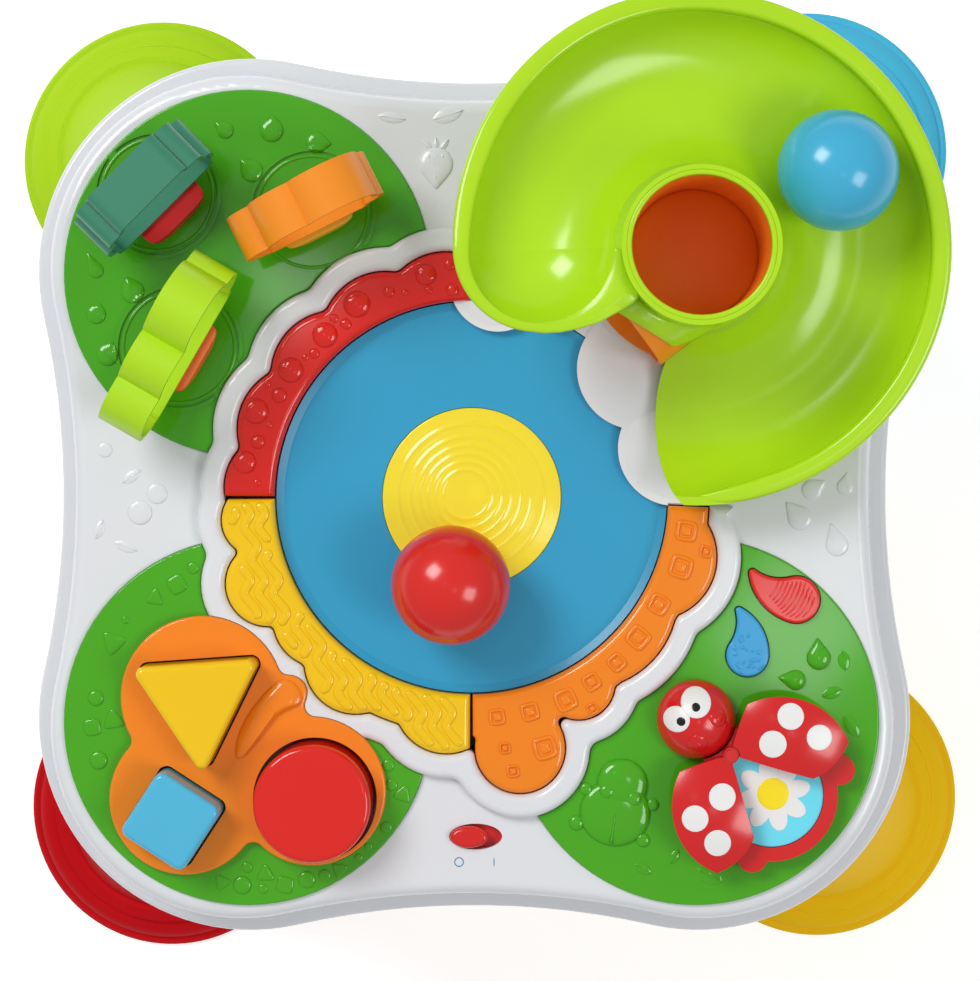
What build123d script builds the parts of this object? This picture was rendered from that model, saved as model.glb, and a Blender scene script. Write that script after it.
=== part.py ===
from build123d import *
import math
import os

# Musical activity table for toddlers.  Millimetres, +Z up, origin on the floor under the table's
# centre, -Y towards the child who stands at the power switch.

os.makedirs("parts", exist_ok=True)

# ---------------------------------------------------------------- driving dimensions
# fits
seat_gap = 0.3            # between a moving or dropped-in piece and its seat
slide_gap = 0.6           # round a press key, button or knob
running_fit = 0.06        # radial, shaft in its bore

# casing
corner_centre = 122.0     # centre of each round corner, from both centre planes
corner_radius = 116.0
waist = 224.5             # half width across the hollow sides
casing_base = 284.0       # underside of the casing above the floor
bottom_depth = 12.0
top_depth = 56.0
wall = 3.0
deck_thickness = 5.0
bead_height = 12.0
bead_low_round = 2.0
bead_high_round = 3.0
deck_round = 7.0
side_inset_low = 7.0      # side wall behind the bead
side_inset_high = 15.0    # side wall at the deck
bottom_inset = 4.0

# legs
foot_spread = 211.5       # centre of each foot from both centre planes
foot_turn = 0.8           # the feet stand a little round from the diagonals, degrees
foot_radius = 91.0
foot_rim = 9.3            # flat ring that stands on the floor
foot_flange = 5.3         # width and height of the low flange
foot_flange_height = 6.0
foot_edge = 2.0           # bevel of the flange, and the riser behind it
foot_shoulder_radius = 74.0
foot_shoulder_height = 17.0
foot_step_height = 4.0
leg_base_radius = 64.0
leg_base_height = 25.0
leg_waist_radius = 52.0
leg_waist_spread = 184.0
leg_waist_height = 120.0
leg_top_radius = 50.0
leg_top_spread = 158.0
leg_wall = 4.0
spigot_radius = 36.0
spigot_height = 10.0

# ball tray, lens and press keys
tray_radius = 103.4
tray_drop = 3.6           # tray floor below the deck
tray_rim_drop = 1.5
tray_thickness = 3.0
tray_flange_radius = 134.0
tray_flange_drop = 21.0   # top of the key flange below the deck
lens_radius = 47.4
lens_rise = 3.0
lens_thickness = 2.6
key_notch_radius = 124.6  # outer edge between two lobes
notch_fill = 0.8          # the ring's own edge beyond the notches
notch_round = 3.0         # round bottom of each notch
key_rise = 6.0            # key tops above the deck
key_thickness = 13.0
key_round = 3.5
key_travel = 3.0
key_seam = 0.35           # half the gap between neighbouring keys, degrees
pad_height = 5.0
pad_wall = 1.2
collar_start = 90.0       # the collar and the keys run round from here, degrees
collar_end = 358.0
collar_width = 13.0
collar_rise = 7.0
collar_round = 4.0

# panels
panel_radius = 97.0
panel_centre = 118.5
panel_thickness = 4.5
recess_depth = 2.0
panel_round = 1.0

# spiral slide and tower
tower_x = 117.0
tower_y = 128.0
tube_bore = 34.5
tube_wall = 2.4
sleeve_wall = 2.4
neck_height = 29.6        # sleeve above the way out's arch
sleeve_lip = 3.0          # sleeve above the tube
skirt_radius = 48.0
skirt_rise = 12.0
chute_base_radius = 57.0
chute_base_rise = 26.0    # base ring top above the deck
chute_angle = 218.0       # way out of the tower, towards the tray
chute_reach = 50.0
chute_half_width = 32.5
chute_floor = 3.0
channel_radius = 85.0     # middle of the channel from the tower axis
channel_half_width = 41.5
channel_depth = 24.0
channel_wall = 3.0
channel_lip = 4.5
channel_lip_height = 4.0
channel_low = 10.0        # channel floor at the mouth, above the deck
channel_drop_low = 12.0
crown_below = 9.0         # channel rim at its high end, below the sleeve's top
mouth_angle = -96.0
crown_angle = 180.5
crown_shift = 4.0         # channel moves in towards the tube at its high end
crown_pinch = 4.0
crown_start = 95.0
channel_steps = 17
tongue_reach = 20.0

# cloud under the tower
cloud_pad_radius = 60.0
cloud_rise = 5.0
cloud_slab = 1.5
cloud_dome = 4.0
cloud_sink = 1.0          # how far each dome starts inside the slab

# balls
ball_radius = 31.0
tray_ball_x = -9.9
tray_ball_y = -44.6
slide_ball_angle = 29.4
slide_ball_radius = 82.0

# shape sorter
plate_thickness = 5.5
plate_round = 1.5
crevice_round = 6.0       # round corners between the plate's lobes
well_depth = 19.0         # well floor below the deck
well_wall = 2.4
block_rise = 20.0         # block tops above the plate
block_round = 3.0
block_gap = 2.0
disc_hole_radius = 32.6
square_hole_side = 41.0
square_round = 5.0
square_turn = -33.0
triangle_hole_side = 71.7
triangle_round = 5.0
triangle_turn = 4.0

# spinners
spinner_width = 24.0
spinner_wall = 2.6
hub_height = 19.0
hub_low_half = 11.0
hub_high_half = 19.0
hub_half_width = 10.0
axle_radius = 2.5
axle_boss_radius = 6.5
axle_boss_depth = 16.0
dish_radius = 34.0
dish_width = 2.0
dish_height = 1.2

# ladybird
bug_x = 158.0
bug_y = -156.0
bug_radius = 31.6
bug_height = 9.0
bug_rim = 3.2
head_x = 118.5
head_y = -116.6
head_radius = 20.6
head_height = 22.0
wing_pivot_x = 136.3
wing_pivot_y = -134.4
wing_gap = 0.4
wing_lift = 1.2
wing_dome = 70.0
wing_height = 12.0
wing_thickness = 2.4
wing_radius = 38.5
wing_reach = 27.0         # centre of the closed shell from the pivot
wing_open = 29.0          # each wing's inner edge from the body's axis, at rest
wing_eye_radius = 4.2
wing_eye_height = 2.2
wing_pin_radius = 2.0

# buttons and switch
button_travel = 2.5
button_rise = 3.0
button_skirt = 9.0
button_wall = 2.0
button_round = 1.5
button_pad_radius = 5.0
switch_x = 2.2
switch_y = -179.5
switch_slot_length = 28.0
switch_slot_width = 13.7
switch_knob_length = 20.0
switch_knob_width = 11.6
switch_knob_round = 2.5
switch_travel = 7.0
switch_rise = 4.0
switch_plate_length = 37.0
switch_plate_width = 17.0
switch_plate_thickness = 2.0
switch_floor = 2.0

# power and sound
battery_radius = 7.25
battery_length = 50.5
battery_count = 3
battery_pitch = 16.0
box_wall = 5.0
door_thickness = 2.5
door_lap = 3.0
speaker_radius = 26.0
speaker_height = 14.0
speaker_x = -78.0
board_length = 104.0
board_width = 74.0
board_thickness = 1.6
board_rise = 20.0
screw_radius = 1.6
screw_head_radius = 3.2
screw_circle = 205.0      # casing screws, along the diagonals and beside the waists

# ---------------------------------------------------------------- derived sizes
split = casing_base + bottom_depth
deck = split + top_depth
underdeck = deck - deck_thickness
panel_top = deck - recess_depth + panel_thickness
tray_floor = deck - tray_drop
tray_rim = deck - tray_rim_drop
flange_top = deck - tray_flange_drop
flange_base = flange_top - tray_thickness
key_top = deck + key_rise
key_base = key_top - key_thickness
pad_top = flange_top + pad_height
collar_top = deck + collar_rise
plate_top = panel_top + plate_thickness
key_radius = tray_radius + slide_gap
key_ring_radius = key_notch_radius + notch_fill
plunger_circle = (key_radius + key_notch_radius) / 2
plunger_radius = (key_notch_radius - key_radius) / 4
chute_base_top = deck + chute_base_rise
chute_bottom = deck + cloud_rise
sleeve_bore = tube_bore + tube_wall + seat_gap
sleeve_radius = sleeve_bore + sleeve_wall
tunnel_axis = chute_bottom + chute_floor + chute_half_width - 2.0
sleeve_top = tunnel_axis + chute_half_width + tube_wall + neck_height
tube_top = sleeve_top - sleeve_lip
channel_drop_high = sleeve_top - crown_below - channel_depth - deck - channel_low - channel_drop_low
spinner_base = panel_top + hub_height
bug_base = panel_top
bug_top = bug_base + bug_height
wing_base = bug_top + wing_lift
mid_floor = casing_base + wall

waist_reach = ((corner_centre**2 + (waist - corner_centre)**2 - corner_radius**2)
               / (2 * (corner_radius - (waist - corner_centre))))
waist_centre = waist + waist_reach

# lobes of the keys: angle of the crown, width in degrees, rise of the crown above the notches
red_lobes = [(98, 20, 5.9), (118, 20, 5.9), (138, 20, 5.9), (158, 20, 5.9), (177, 18, 5.9)]
yellow_lobes = [(186, 15, 7.9), (203, 20, 14.4), (219, 12, 2.9), (235, 20, 8.9), (263, 22, 11.4)]
orange_lobes = [(300, 15, 7.9), (319, 22, 3.9), (342, 24, 9.9)]
big_lobe_angle = -79.0
big_lobe_reach = 10.2     # its centre beyond the notches
big_lobe_radius = 23.8

# spinners: pivot, heading of the long side
spinners = {
    "teal": (-166.0, 160.0, 45.0),
    "orange": (-84.0, 151.0, 26.6),
    "lime": (-154.5, 79.5, 60.0),
}

# sorter: centres of the wells, and the plate's lobes with their radii
disc_hole = (-82.2, -158.7)
square_hole = (-155.6, -167.5)
triangle_hole = (-141.7, -105.1)
plate_lobes = [(-141.6, -105.2, 43.0), (-150.5, -158.5, 40.0), (-84.0, -154.5, 39.2), (-96.0, -103.0, 9.6)]

# droplet buttons: centre, heading of the tip, bulb radius, tip distance, side of the full flank
red_drop = (171.7, -53.9, 148.4, 12.4, 29.2, 1)
blue_drop = (145.8, -83.3, 100.6, 11.2, 26.0, -1)


# ---------------------------------------------------------------- sketch helpers
def polar(radius, angle):
    """Give the point at a radius and an angle in degrees."""
    return (radius * math.cos(math.radians(angle)), radius * math.sin(math.radians(angle)))


def casing_outline(inset):
    """Draw the casing's outline moved inward: four round corners joined by hollow sides."""
    reach = waist_centre - corner_centre
    span = corner_radius + waist_reach
    radius = corner_radius - inset
    tangent_x = corner_centre - radius * corner_centre / span
    tangent_y = corner_centre + radius * reach / span
    knuckle = corner_centre + radius * math.sqrt(0.5)
    with BuildLine() as outline:
        for quarter in range(4):
            turn = 90 * quarter
            side = [Vector(-tangent_x, tangent_y), Vector(0, waist - inset), Vector(tangent_x, tangent_y)]
            corner = [Vector(tangent_x, tangent_y), Vector(knuckle, knuckle), Vector(tangent_y, tangent_x)]
            ThreePointArc(*[point.rotate(Axis.Z, -turn) for point in side])
            ThreePointArc(*[point.rotate(Axis.Z, -turn) for point in corner])
    make_face(outline.edges())


def scalloped_disc(lobes, with_big_lobe, grow):
    """Draw a full disc with lobes round its edge and a round bottom in every notch."""
    notch = notch_round + grow / 3
    Circle(key_ring_radius + grow + notch)
    for angle, width, rise in lobes:
        crown = key_notch_radius + rise
        notch_x = key_notch_radius * math.cos(math.radians(width / 2))
        centre = (crown**2 - key_notch_radius**2) / (2 * (crown - notch_x))
        with Locations(polar(centre, angle)):
            Circle(crown - centre + grow + notch)
    if with_big_lobe:
        with Locations(polar(key_notch_radius + big_lobe_reach, big_lobe_angle)):
            Circle(big_lobe_radius + grow + notch)
    offset(amount=-notch, kind=Kind.ARC)


def keep_sector(start, end):
    """Keep what lies between two angles about the table's centre."""
    reach = 2 * (corner_centre + corner_radius)
    middle = (start + end) / 2
    rim = [polar(reach, start), polar(reach, (start + middle) / 2), polar(reach, middle)]
    rim += [polar(reach, (middle + end) / 2), polar(reach, end)]
    Polygon((0, 0), *rim, align=None, mode=Mode.INTERSECT)


def key_shape(lobes, start, end, grow=0.0, with_big_lobe=False):
    """Draw a key: a quarter of the ring with lobes along its outer edge."""
    scalloped_disc(lobes, with_big_lobe, grow)
    keep_sector(start, end)
    Circle(key_radius - grow, mode=Mode.SUBTRACT)


def ring_shape(grow):
    """Draw the three keys' common outline as a full disc with lobes."""
    scalloped_disc(red_lobes + yellow_lobes + orange_lobes, True, grow)


def clear_collar(inset):
    """Cut a drawn shape back from the scalloped collar."""
    with BuildSketch(mode=Mode.PRIVATE) as scallops:
        ring_shape(collar_width + seat_gap + inset)
    add(scallops.sketch, mode=Mode.SUBTRACT)


def panel_shape(side_x, side_y, inset=0.0):
    """Draw a corner panel: a disc cut back by the scalloped collar."""
    with Locations((side_x * panel_centre, side_y * panel_centre)):
        Circle(panel_radius - inset)
    clear_collar(inset)


def droplet(bulb, tip, full_side, grow=0.0):
    """Draw a curled droplet: a round bulb drawn out to a small round tip along +X.

    A full arc joins them on one side and a hollow arc on the other, both tangent to bulb and tip."""
    tip_round = bulb / 6
    tip_centre = Vector(tip - tip_round, 0)
    full = flank_centre(2.45 * bulb - bulb, 2.45 * bulb - tip_round, tip_centre.X, -full_side)
    hollow = flank_centre(1.8 * bulb + bulb, 1.8 * bulb + tip_round, tip_centre.X, -full_side)
    bulb_full = full.normalized() * -(bulb + grow)
    tip_full = tip_centre + (tip_centre - full).normalized() * (tip_round + grow)
    bulb_hollow = hollow.normalized() * (bulb + grow)
    tip_hollow = tip_centre + (hollow - tip_centre).normalized() * (tip_round + grow)
    full_middle = full + (bulb_full + tip_full - full * 2).normalized() * (2.45 * bulb + grow)
    hollow_middle = hollow + (bulb_hollow + tip_hollow - hollow * 2).normalized() * (1.8 * bulb - grow)
    with BuildLine() as outline:
        ThreePointArc(bulb_full, full_middle, tip_full)
        ThreePointArc(tip_full, tip_centre + Vector(tip_round + grow, 0), tip_hollow)
        ThreePointArc(tip_hollow, hollow_middle, bulb_hollow)
        ThreePointArc(bulb_hollow, Vector(-bulb - grow, 0), bulb_full)
    make_face(outline.edges())


def flank_centre(from_bulb, from_tip, tip_x, side):
    """Give the point at two distances from the bulb's centre and the tip's centre."""
    x = (from_bulb**2 - from_tip**2 + tip_x**2) / (2 * tip_x)
    return Vector(x, side * math.sqrt(from_bulb**2 - x**2))


def plate_shape(grow=0.0):
    """Draw the sorter plate: a lobe round each well and a small bump, run together."""
    with BuildSketch(mode=Mode.PRIVATE) as plate:
        for x, y, radius in plate_lobes:
            with Locations((x, y)):
                Circle(radius + crevice_round)
        Polygon(*[(x, y) for x, y, radius in plate_lobes[:3]], align=None)
        offset(amount=grow - crevice_round, kind=Kind.ARC)
    add(plate.sketch)


def rounded_triangle(side, corner):
    """Draw an equilateral triangle with round corners, one side facing +Y."""
    reach = side / math.sqrt(3) - 2 * corner
    Polygon(*[polar(reach, angle) for angle in (30, 150, 270)], align=None)
    offset(amount=corner, kind=Kind.ARC)


def dome(radius, height):
    """Add a spherical cap that stands on its flat base."""
    ball = (radius**2 + height**2) / (2 * height)
    latitude = math.degrees(math.asin((ball - height) / ball))
    Sphere(ball, arc_size1=latitude, arc_size2=90, align=(Align.CENTER, Align.CENTER, Align.MIN))


def finish(builder, name):
    """Label a finished piece and write it out."""
    builder.part.label = name
    export_step(builder.part, f"parts/{name}.step")


# ---------------------------------------------------------------- legs
leg_turns = {"blue": 0, "lime": 90, "red": 180, "yellow": 270}


def leg_plane(spread, height, turn=0.0):
    """Give a level plane centred on a leg at a height, turned about the table's centre."""
    return Plane(Vector(spread, spread, height).rotate(Axis.Z, turn))


leg_stations = [
    (foot_spread, leg_base_radius, leg_base_height - foot_edge, foot_turn),
    (leg_waist_spread, leg_waist_radius, leg_waist_height, foot_turn / 2),
    (leg_top_spread, leg_top_radius, casing_base, 0.0),
]
foot_centre = leg_plane(foot_spread, 0, foot_turn).origin
foot_collar = leg_base_radius + foot_edge
foot_bore = leg_base_radius - leg_wall - foot_edge
flange_inner = foot_radius - foot_flange
shoulder_bulge = ((flange_inner + foot_shoulder_radius) / 2 + foot_edge, foot_shoulder_height - 2 * foot_edge)

with BuildPart() as leg_form:
    for spread, radius, height, turn in leg_stations:
        with BuildSketch(leg_plane(spread, height, turn)):
            Circle(radius)
    loft()
    for spread, radius, height, turn in leg_stations:
        with BuildSketch(leg_plane(spread, height, turn)):
            Circle(radius - leg_wall)
    loft(mode=Mode.SUBTRACT)
    # foot: flange, round shoulder and step, open below
    with BuildSketch(Plane(origin=foot_centre, x_dir=(1, 0, 0), z_dir=(0, -1, 0))):
        with BuildLine():
            Polyline(
                (foot_radius, 0),
                (foot_radius, foot_flange_height - foot_edge),
                (foot_radius - foot_edge, foot_flange_height),
                (flange_inner, foot_flange_height),
                (flange_inner, foot_flange_height + foot_edge),
            )
            ThreePointArc(
                (flange_inner, foot_flange_height + foot_edge),
                shoulder_bulge,
                (foot_shoulder_radius, foot_shoulder_height),
            )
            Polyline(
                (foot_shoulder_radius, foot_shoulder_height),
                (foot_shoulder_radius - foot_edge / 2, foot_shoulder_height + foot_step_height),
                (foot_collar, leg_base_height),
                (foot_bore, leg_base_height),
                (foot_bore, foot_shoulder_height),
                (foot_shoulder_radius - leg_wall, foot_shoulder_height - leg_wall),
                (foot_radius - foot_rim, foot_flange_height - foot_edge),
                (foot_radius - foot_rim, 0),
                (foot_radius, 0),
            )
        make_face()
    revolve(axis=Axis(foot_centre, (0, 0, 1)))
    with BuildSketch(leg_plane(leg_top_spread, casing_base - leg_wall)):
        Circle(leg_top_radius - leg_wall / 2)
    extrude(amount=leg_wall)
    with BuildSketch(leg_plane(leg_top_spread, casing_base)):
        Circle(spigot_radius)
        Circle(spigot_radius - leg_wall, mode=Mode.SUBTRACT)
    extrude(amount=spigot_height)

for colour, turn in leg_turns.items():
    with BuildPart() as leg:
        add(leg_form.part.rotate(Axis.Z, turn))
    finish(leg, f"leg_{colour}")

# ---------------------------------------------------------------- bottom casing
screw_spots = [polar(screw_circle, angle) for angle in (15, 75, 105, 165, 195, 255, 285, 345)]
post_spots = [polar(plunger_circle + 10, angle) for angle in (20, 80, 140, 200, 260, 320)]
board_spots = [(x * (board_length / 2 - 6), y * (board_width / 2 - 6)) for x in (-1, 1) for y in (-1, 1)]
battery_width = battery_count * battery_pitch + 2
battery_bay_length = battery_length + 8
battery_bay_top = mid_floor + 2 * battery_radius + 1.5
speaker_seat = mid_floor + 2.0

door_seat = mid_floor - 0.3
door_ear_radius = 5.5
door_screw_x = battery_bay_length / 2 + box_wall + 1
door_screw_length = 14.0


def door_shape(grow):
    """Draw the battery door: a plate with a round ear for its screw."""
    Rectangle(battery_bay_length + 2 * (door_lap + grow), battery_width + 2 * (door_lap + grow))
    with Locations((door_screw_x, 0)):
        Circle(door_ear_radius - 1 + grow)


with BuildPart() as bottom_casing:
    with BuildSketch(Plane.XY.offset(casing_base)):
        casing_outline(bottom_inset + 4)
    with BuildSketch(Plane.XY.offset(split)):
        casing_outline(bottom_inset)
    loft(ruled=True)
    with BuildSketch(Plane.XY.offset(mid_floor)):
        casing_outline(bottom_inset + 4 + wall)
    extrude(amount=bottom_depth, mode=Mode.SUBTRACT)
    for turn in leg_turns.values():
        with BuildSketch(leg_plane(leg_top_spread, mid_floor, turn)):
            Circle(spigot_radius + seat_gap + wall)
        extrude(amount=spigot_height)
        with BuildSketch(leg_plane(leg_top_spread, casing_base, turn)):
            Circle(spigot_radius + seat_gap)
        extrude(amount=spigot_height + seat_gap, mode=Mode.SUBTRACT)
    with BuildSketch(Plane.XY.offset(mid_floor)):
        with Locations(*post_spots):
            Circle(5)
    extrude(amount=flange_base - mid_floor)
    with BuildSketch(Plane.XY.offset(mid_floor)):
        with Locations(*board_spots):
            Circle(3.5)
    extrude(amount=board_rise)
    with BuildSketch(Plane.XY.offset(mid_floor)):
        with Locations(*screw_spots):
            Circle(screw_head_radius + 2)
    extrude(amount=split - mid_floor)
    with BuildSketch(Plane.XY.offset(mid_floor)):
        Rectangle(battery_bay_length + 2 * box_wall, battery_width + 2 * box_wall)
    extrude(amount=battery_bay_top - mid_floor + wall)
    with BuildSketch(Plane.XY.offset(mid_floor)):
        with Locations((door_screw_x, 0)):
            Circle(door_ear_radius)
    extrude(amount=door_screw_length)
    with BuildSketch(Plane.XY.offset(casing_base)):
        Rectangle(battery_bay_length, battery_width)
    extrude(amount=battery_bay_top - casing_base, mode=Mode.SUBTRACT)
    with BuildSketch(Plane.XY.offset(casing_base)):
        door_shape(seat_gap)
    extrude(amount=door_seat - casing_base, mode=Mode.SUBTRACT)
    with BuildSketch(Plane.XY.offset(casing_base)):
        with Locations((door_screw_x, 0)):
            Circle(screw_radius)
    extrude(amount=door_screw_length, mode=Mode.SUBTRACT)
    with BuildSketch(Plane.XY.offset(mid_floor)):
        with Locations((speaker_x, 0)):
            Circle(speaker_radius + seat_gap + 2)
            Circle(speaker_radius + seat_gap, mode=Mode.SUBTRACT)
    extrude(amount=5)
    with BuildSketch(Plane.XY.offset(casing_base)):
        with Locations((speaker_x, 0)):
            with PolarLocations(14, 6):
                Circle(3)
            Circle(3)
    extrude(amount=wall, mode=Mode.SUBTRACT)
    with BuildSketch(Plane.XY.offset(casing_base)):
        with Locations(*screw_spots):
            Circle(screw_head_radius + seat_gap)
    extrude(amount=wall + 1, mode=Mode.SUBTRACT)
    with BuildSketch(Plane.XY.offset(casing_base)):
        with Locations(*screw_spots):
            Circle(screw_radius + 0.2)
    extrude(amount=bottom_depth, mode=Mode.SUBTRACT)
finish(bottom_casing, "bottom_casing")

# ---------------------------------------------------------------- top casing
well_floor = deck - well_depth
socket_floor = underdeck - axle_boss_depth
button_floor = underdeck - button_skirt + button_wall
trough_floor = underdeck - switch_plate_thickness - 2 * seat_gap
trough_length = switch_plate_length + switch_travel + 2 * slide_gap
trough_width = switch_plate_width + 2 * slide_gap


def sorter_wells(grow):
    """Draw the three wells of the sorter, their walls moved outward."""
    with Locations(disc_hole):
        Circle(disc_hole_radius + grow)
    with Locations(Location((square_hole[0], square_hole[1], 0), (0, 0, square_turn))):
        RectangleRounded(square_hole_side + 2 * grow, square_hole_side + 2 * grow, square_round + grow)
    with BuildSketch(mode=Mode.PRIVATE) as triangle:
        rounded_triangle(triangle_hole_side + 2 * grow * math.sqrt(3), triangle_round + grow)
    with Locations(Location((triangle_hole[0], triangle_hole[1], 0), (0, 0, triangle_turn))):
        add(triangle.sketch)


with BuildPart() as top_casing:
    with BuildSketch(Plane.XY.offset(split)):
        casing_outline(side_inset_low)
    with BuildSketch(Plane.XY.offset(deck)):
        casing_outline(side_inset_high)
    loft(ruled=True)
    fillet(top_casing.faces().sort_by(Axis.Z)[-1].edges(), deck_round)
    with BuildSketch(Plane.XY.offset(split)):
        casing_outline(0)
    extrude(amount=bead_height)
    low_edges = top_casing.edges().filter_by_position(Axis.Z, split - 0.1, split + 0.1)
    fillet(low_edges, bead_low_round)
    bead_top = split + bead_height
    high_edges = top_casing.edges().filter_by_position(Axis.Z, bead_top - 0.1, bead_top + 0.1)
    fillet(high_edges.group_by(SortBy.LENGTH)[-1], bead_high_round)
    with BuildSketch(Plane.XY.offset(split)):
        casing_outline(side_inset_low + wall)
    with BuildSketch(Plane.XY.offset(underdeck)):
        casing_outline(side_inset_high + wall)
    loft(ruled=True, mode=Mode.SUBTRACT)
    # the deck cut away for the keys and the tray
    with BuildSketch(Plane.XY.offset(split)):
        ring_shape(slide_gap)
        keep_sector(collar_start, collar_end)
        Circle(key_radius)
    extrude(amount=deck - split, mode=Mode.SUBTRACT)
    # collar of the key ring, cut back for the sorter plate
    with BuildPart(mode=Mode.PRIVATE) as collar:
        with BuildSketch(Plane.XY.offset(underdeck)):
            ring_shape(collar_width)
            keep_sector(collar_start, collar_end)
        extrude(amount=collar_top - underdeck)
        with BuildSketch(Plane.XY.offset(underdeck)):
            ring_shape(slide_gap)
            keep_sector(collar_start, collar_end)
            Circle(key_radius)
        extrude(amount=collar_top - underdeck, mode=Mode.SUBTRACT)
        fillet(collar.faces().sort_by(Axis.Z)[-1].edges(), collar_round)
        with BuildSketch(Plane.XY.offset(panel_top)):
            plate_shape(seat_gap)
        extrude(amount=collar_top - panel_top, mode=Mode.SUBTRACT)
    add(collar.part)
    # corner panel recesses
    for side_x, side_y in ((-1, 1), (-1, -1), (1, -1)):
        with BuildSketch(Plane.XY.offset(deck - recess_depth)):
            panel_shape(side_x, side_y, inset=-seat_gap)
        extrude(amount=recess_depth, mode=Mode.SUBTRACT)
    # axle bosses of the spinners
    for x, y, heading in spinners.values():
        with BuildSketch(Plane.XY.offset(socket_floor)):
            with Locations((x, y)):
                Circle(axle_boss_radius)
                Circle(axle_radius, mode=Mode.SUBTRACT)
        extrude(amount=axle_boss_depth)
        with BuildSketch(Plane.XY.offset(underdeck)):
            with Locations((x, y)):
                Circle(axle_radius)
        extrude(amount=deck_thickness, mode=Mode.SUBTRACT)
    # openings for the sorter wells, the two buttons and the switch
    with BuildSketch(Plane.XY.offset(underdeck)):
        sorter_wells(well_wall + seat_gap)
    extrude(amount=panel_top - underdeck, mode=Mode.SUBTRACT)
    for x, y, heading, bulb, tip, full_side in (red_drop, blue_drop):
        with BuildSketch(Plane(origin=(x, y, underdeck), x_dir=(*polar(1, heading), 0))):
            droplet(bulb, tip, full_side, slide_gap)
        extrude(amount=deck_thickness, mode=Mode.SUBTRACT)
    # button wells hang below the deck
    for x, y, heading, bulb, tip, full_side in (red_drop, blue_drop):
        with BuildSketch(Plane(origin=(x, y, underdeck - button_skirt), x_dir=(*polar(1, heading), 0))):
            droplet(bulb, tip, full_side, slide_gap + button_wall)
        extrude(amount=button_skirt)
        with BuildSketch(Plane(origin=(x, y, button_floor), x_dir=(*polar(1, heading), 0))):
            droplet(bulb, tip, full_side, slide_gap)
        extrude(amount=button_skirt, mode=Mode.SUBTRACT)
    # switch trough under its oval opening
    with BuildSketch(Plane.XY.offset(trough_floor - switch_floor)):
        with Locations((switch_x, switch_y)):
            SlotOverall(trough_length + 2 * switch_floor, trough_width + 2 * switch_floor)
    extrude(amount=underdeck - trough_floor + switch_floor)
    with BuildSketch(Plane.XY.offset(trough_floor)):
        with Locations((switch_x, switch_y)):
            SlotOverall(trough_length, trough_width)
    extrude(amount=underdeck - trough_floor, mode=Mode.SUBTRACT)
    with BuildSketch(Plane.XY.offset(underdeck)):
        with Locations((switch_x, switch_y)):
            Ellipse(switch_slot_length / 2, switch_slot_width / 2)
    extrude(amount=deck_thickness, mode=Mode.SUBTRACT)
    # screw bosses
    with BuildSketch(Plane.XY.offset(split)):
        with Locations(*screw_spots):
            Circle(screw_head_radius + 2)
            Circle(screw_radius, mode=Mode.SUBTRACT)
    extrude(amount=underdeck - split)
finish(top_casing, "top_casing")

# ---------------------------------------------------------------- corner panels
panels = {"spinner_panel": (-1, 1), "sorter_panel": (-1, -1), "ladybird_panel": (1, -1)}
for name, (side_x, side_y) in panels.items():
    with BuildPart() as panel:
        with BuildSketch(Plane.XY.offset(deck - recess_depth)):
            panel_shape(side_x, side_y)
        extrude(amount=panel_thickness)
        fillet(panel.faces().sort_by(Axis.Z)[-1].edges(), panel_round)
        if name == "spinner_panel":
            for x, y, heading in spinners.values():
                with BuildSketch(mode=Mode.PRIVATE) as panel_face:
                    panel_shape(side_x, side_y, inset=2)
                with BuildSketch(Plane.XY.offset(panel_top)):
                    with Locations((x, y)):
                        Circle(dish_radius)
                        Circle(dish_radius - dish_width, mode=Mode.SUBTRACT)
                    add(panel_face.sketch, mode=Mode.INTERSECT)
                extrude(amount=dish_height)
                with BuildSketch(Plane.XY.offset(deck - recess_depth)):
                    with Locations((x, y)):
                        Circle(axle_radius + running_fit)
                extrude(amount=panel_thickness, mode=Mode.SUBTRACT)
        if name == "sorter_panel":
            with BuildSketch(Plane.XY.offset(deck - recess_depth)):
                sorter_wells(well_wall + seat_gap)
            extrude(amount=panel_thickness, mode=Mode.SUBTRACT)
        if name == "ladybird_panel":
            for x, y, heading, bulb, tip, full_side in (red_drop, blue_drop):
                with BuildSketch(Plane(origin=(x, y, deck - recess_depth), x_dir=(*polar(1, heading), 0))):
                    droplet(bulb, tip, full_side, slide_gap)
                extrude(amount=panel_thickness, mode=Mode.SUBTRACT)
    finish(panel, name)

# ---------------------------------------------------------------- ball tray and lamp
lens_seat_depth = 2.0
lens_seat_width = 5.0
seat_thickness = 2.5
lens_hole = lens_radius - lens_seat_width
lens_base = tray_floor - lens_seat_depth
tray_under = lens_base - seat_thickness


def cap_height(radius, rise, at):
    """Give the height of a spherical cap's surface above its rim."""
    ball = (radius**2 + rise**2) / (2 * rise)
    return math.sqrt(ball**2 - at**2) - (ball - rise)


with BuildPart() as ball_tray:
    with BuildSketch(Plane.XZ):
        with BuildLine():
            Polyline(
                (lens_hole, tray_under),
                (lens_hole, lens_base),
                (lens_radius + seat_gap, lens_base),
                (lens_radius + seat_gap, tray_floor),
                (tray_radius - 4, tray_floor),
                (tray_radius, tray_rim),
                (tray_radius, flange_top),
                (tray_flange_radius, flange_top),
                (tray_flange_radius, flange_base),
                (tray_radius - tray_thickness, flange_base),
                (tray_radius - tray_thickness, tray_floor - tray_thickness),
                (lens_radius + tray_thickness, tray_floor - tray_thickness),
                (lens_radius + tray_thickness, tray_under),
                close=True,
            )
        make_face()
    revolve(axis=Axis.Z)
finish(ball_tray, "ball_tray")

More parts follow.
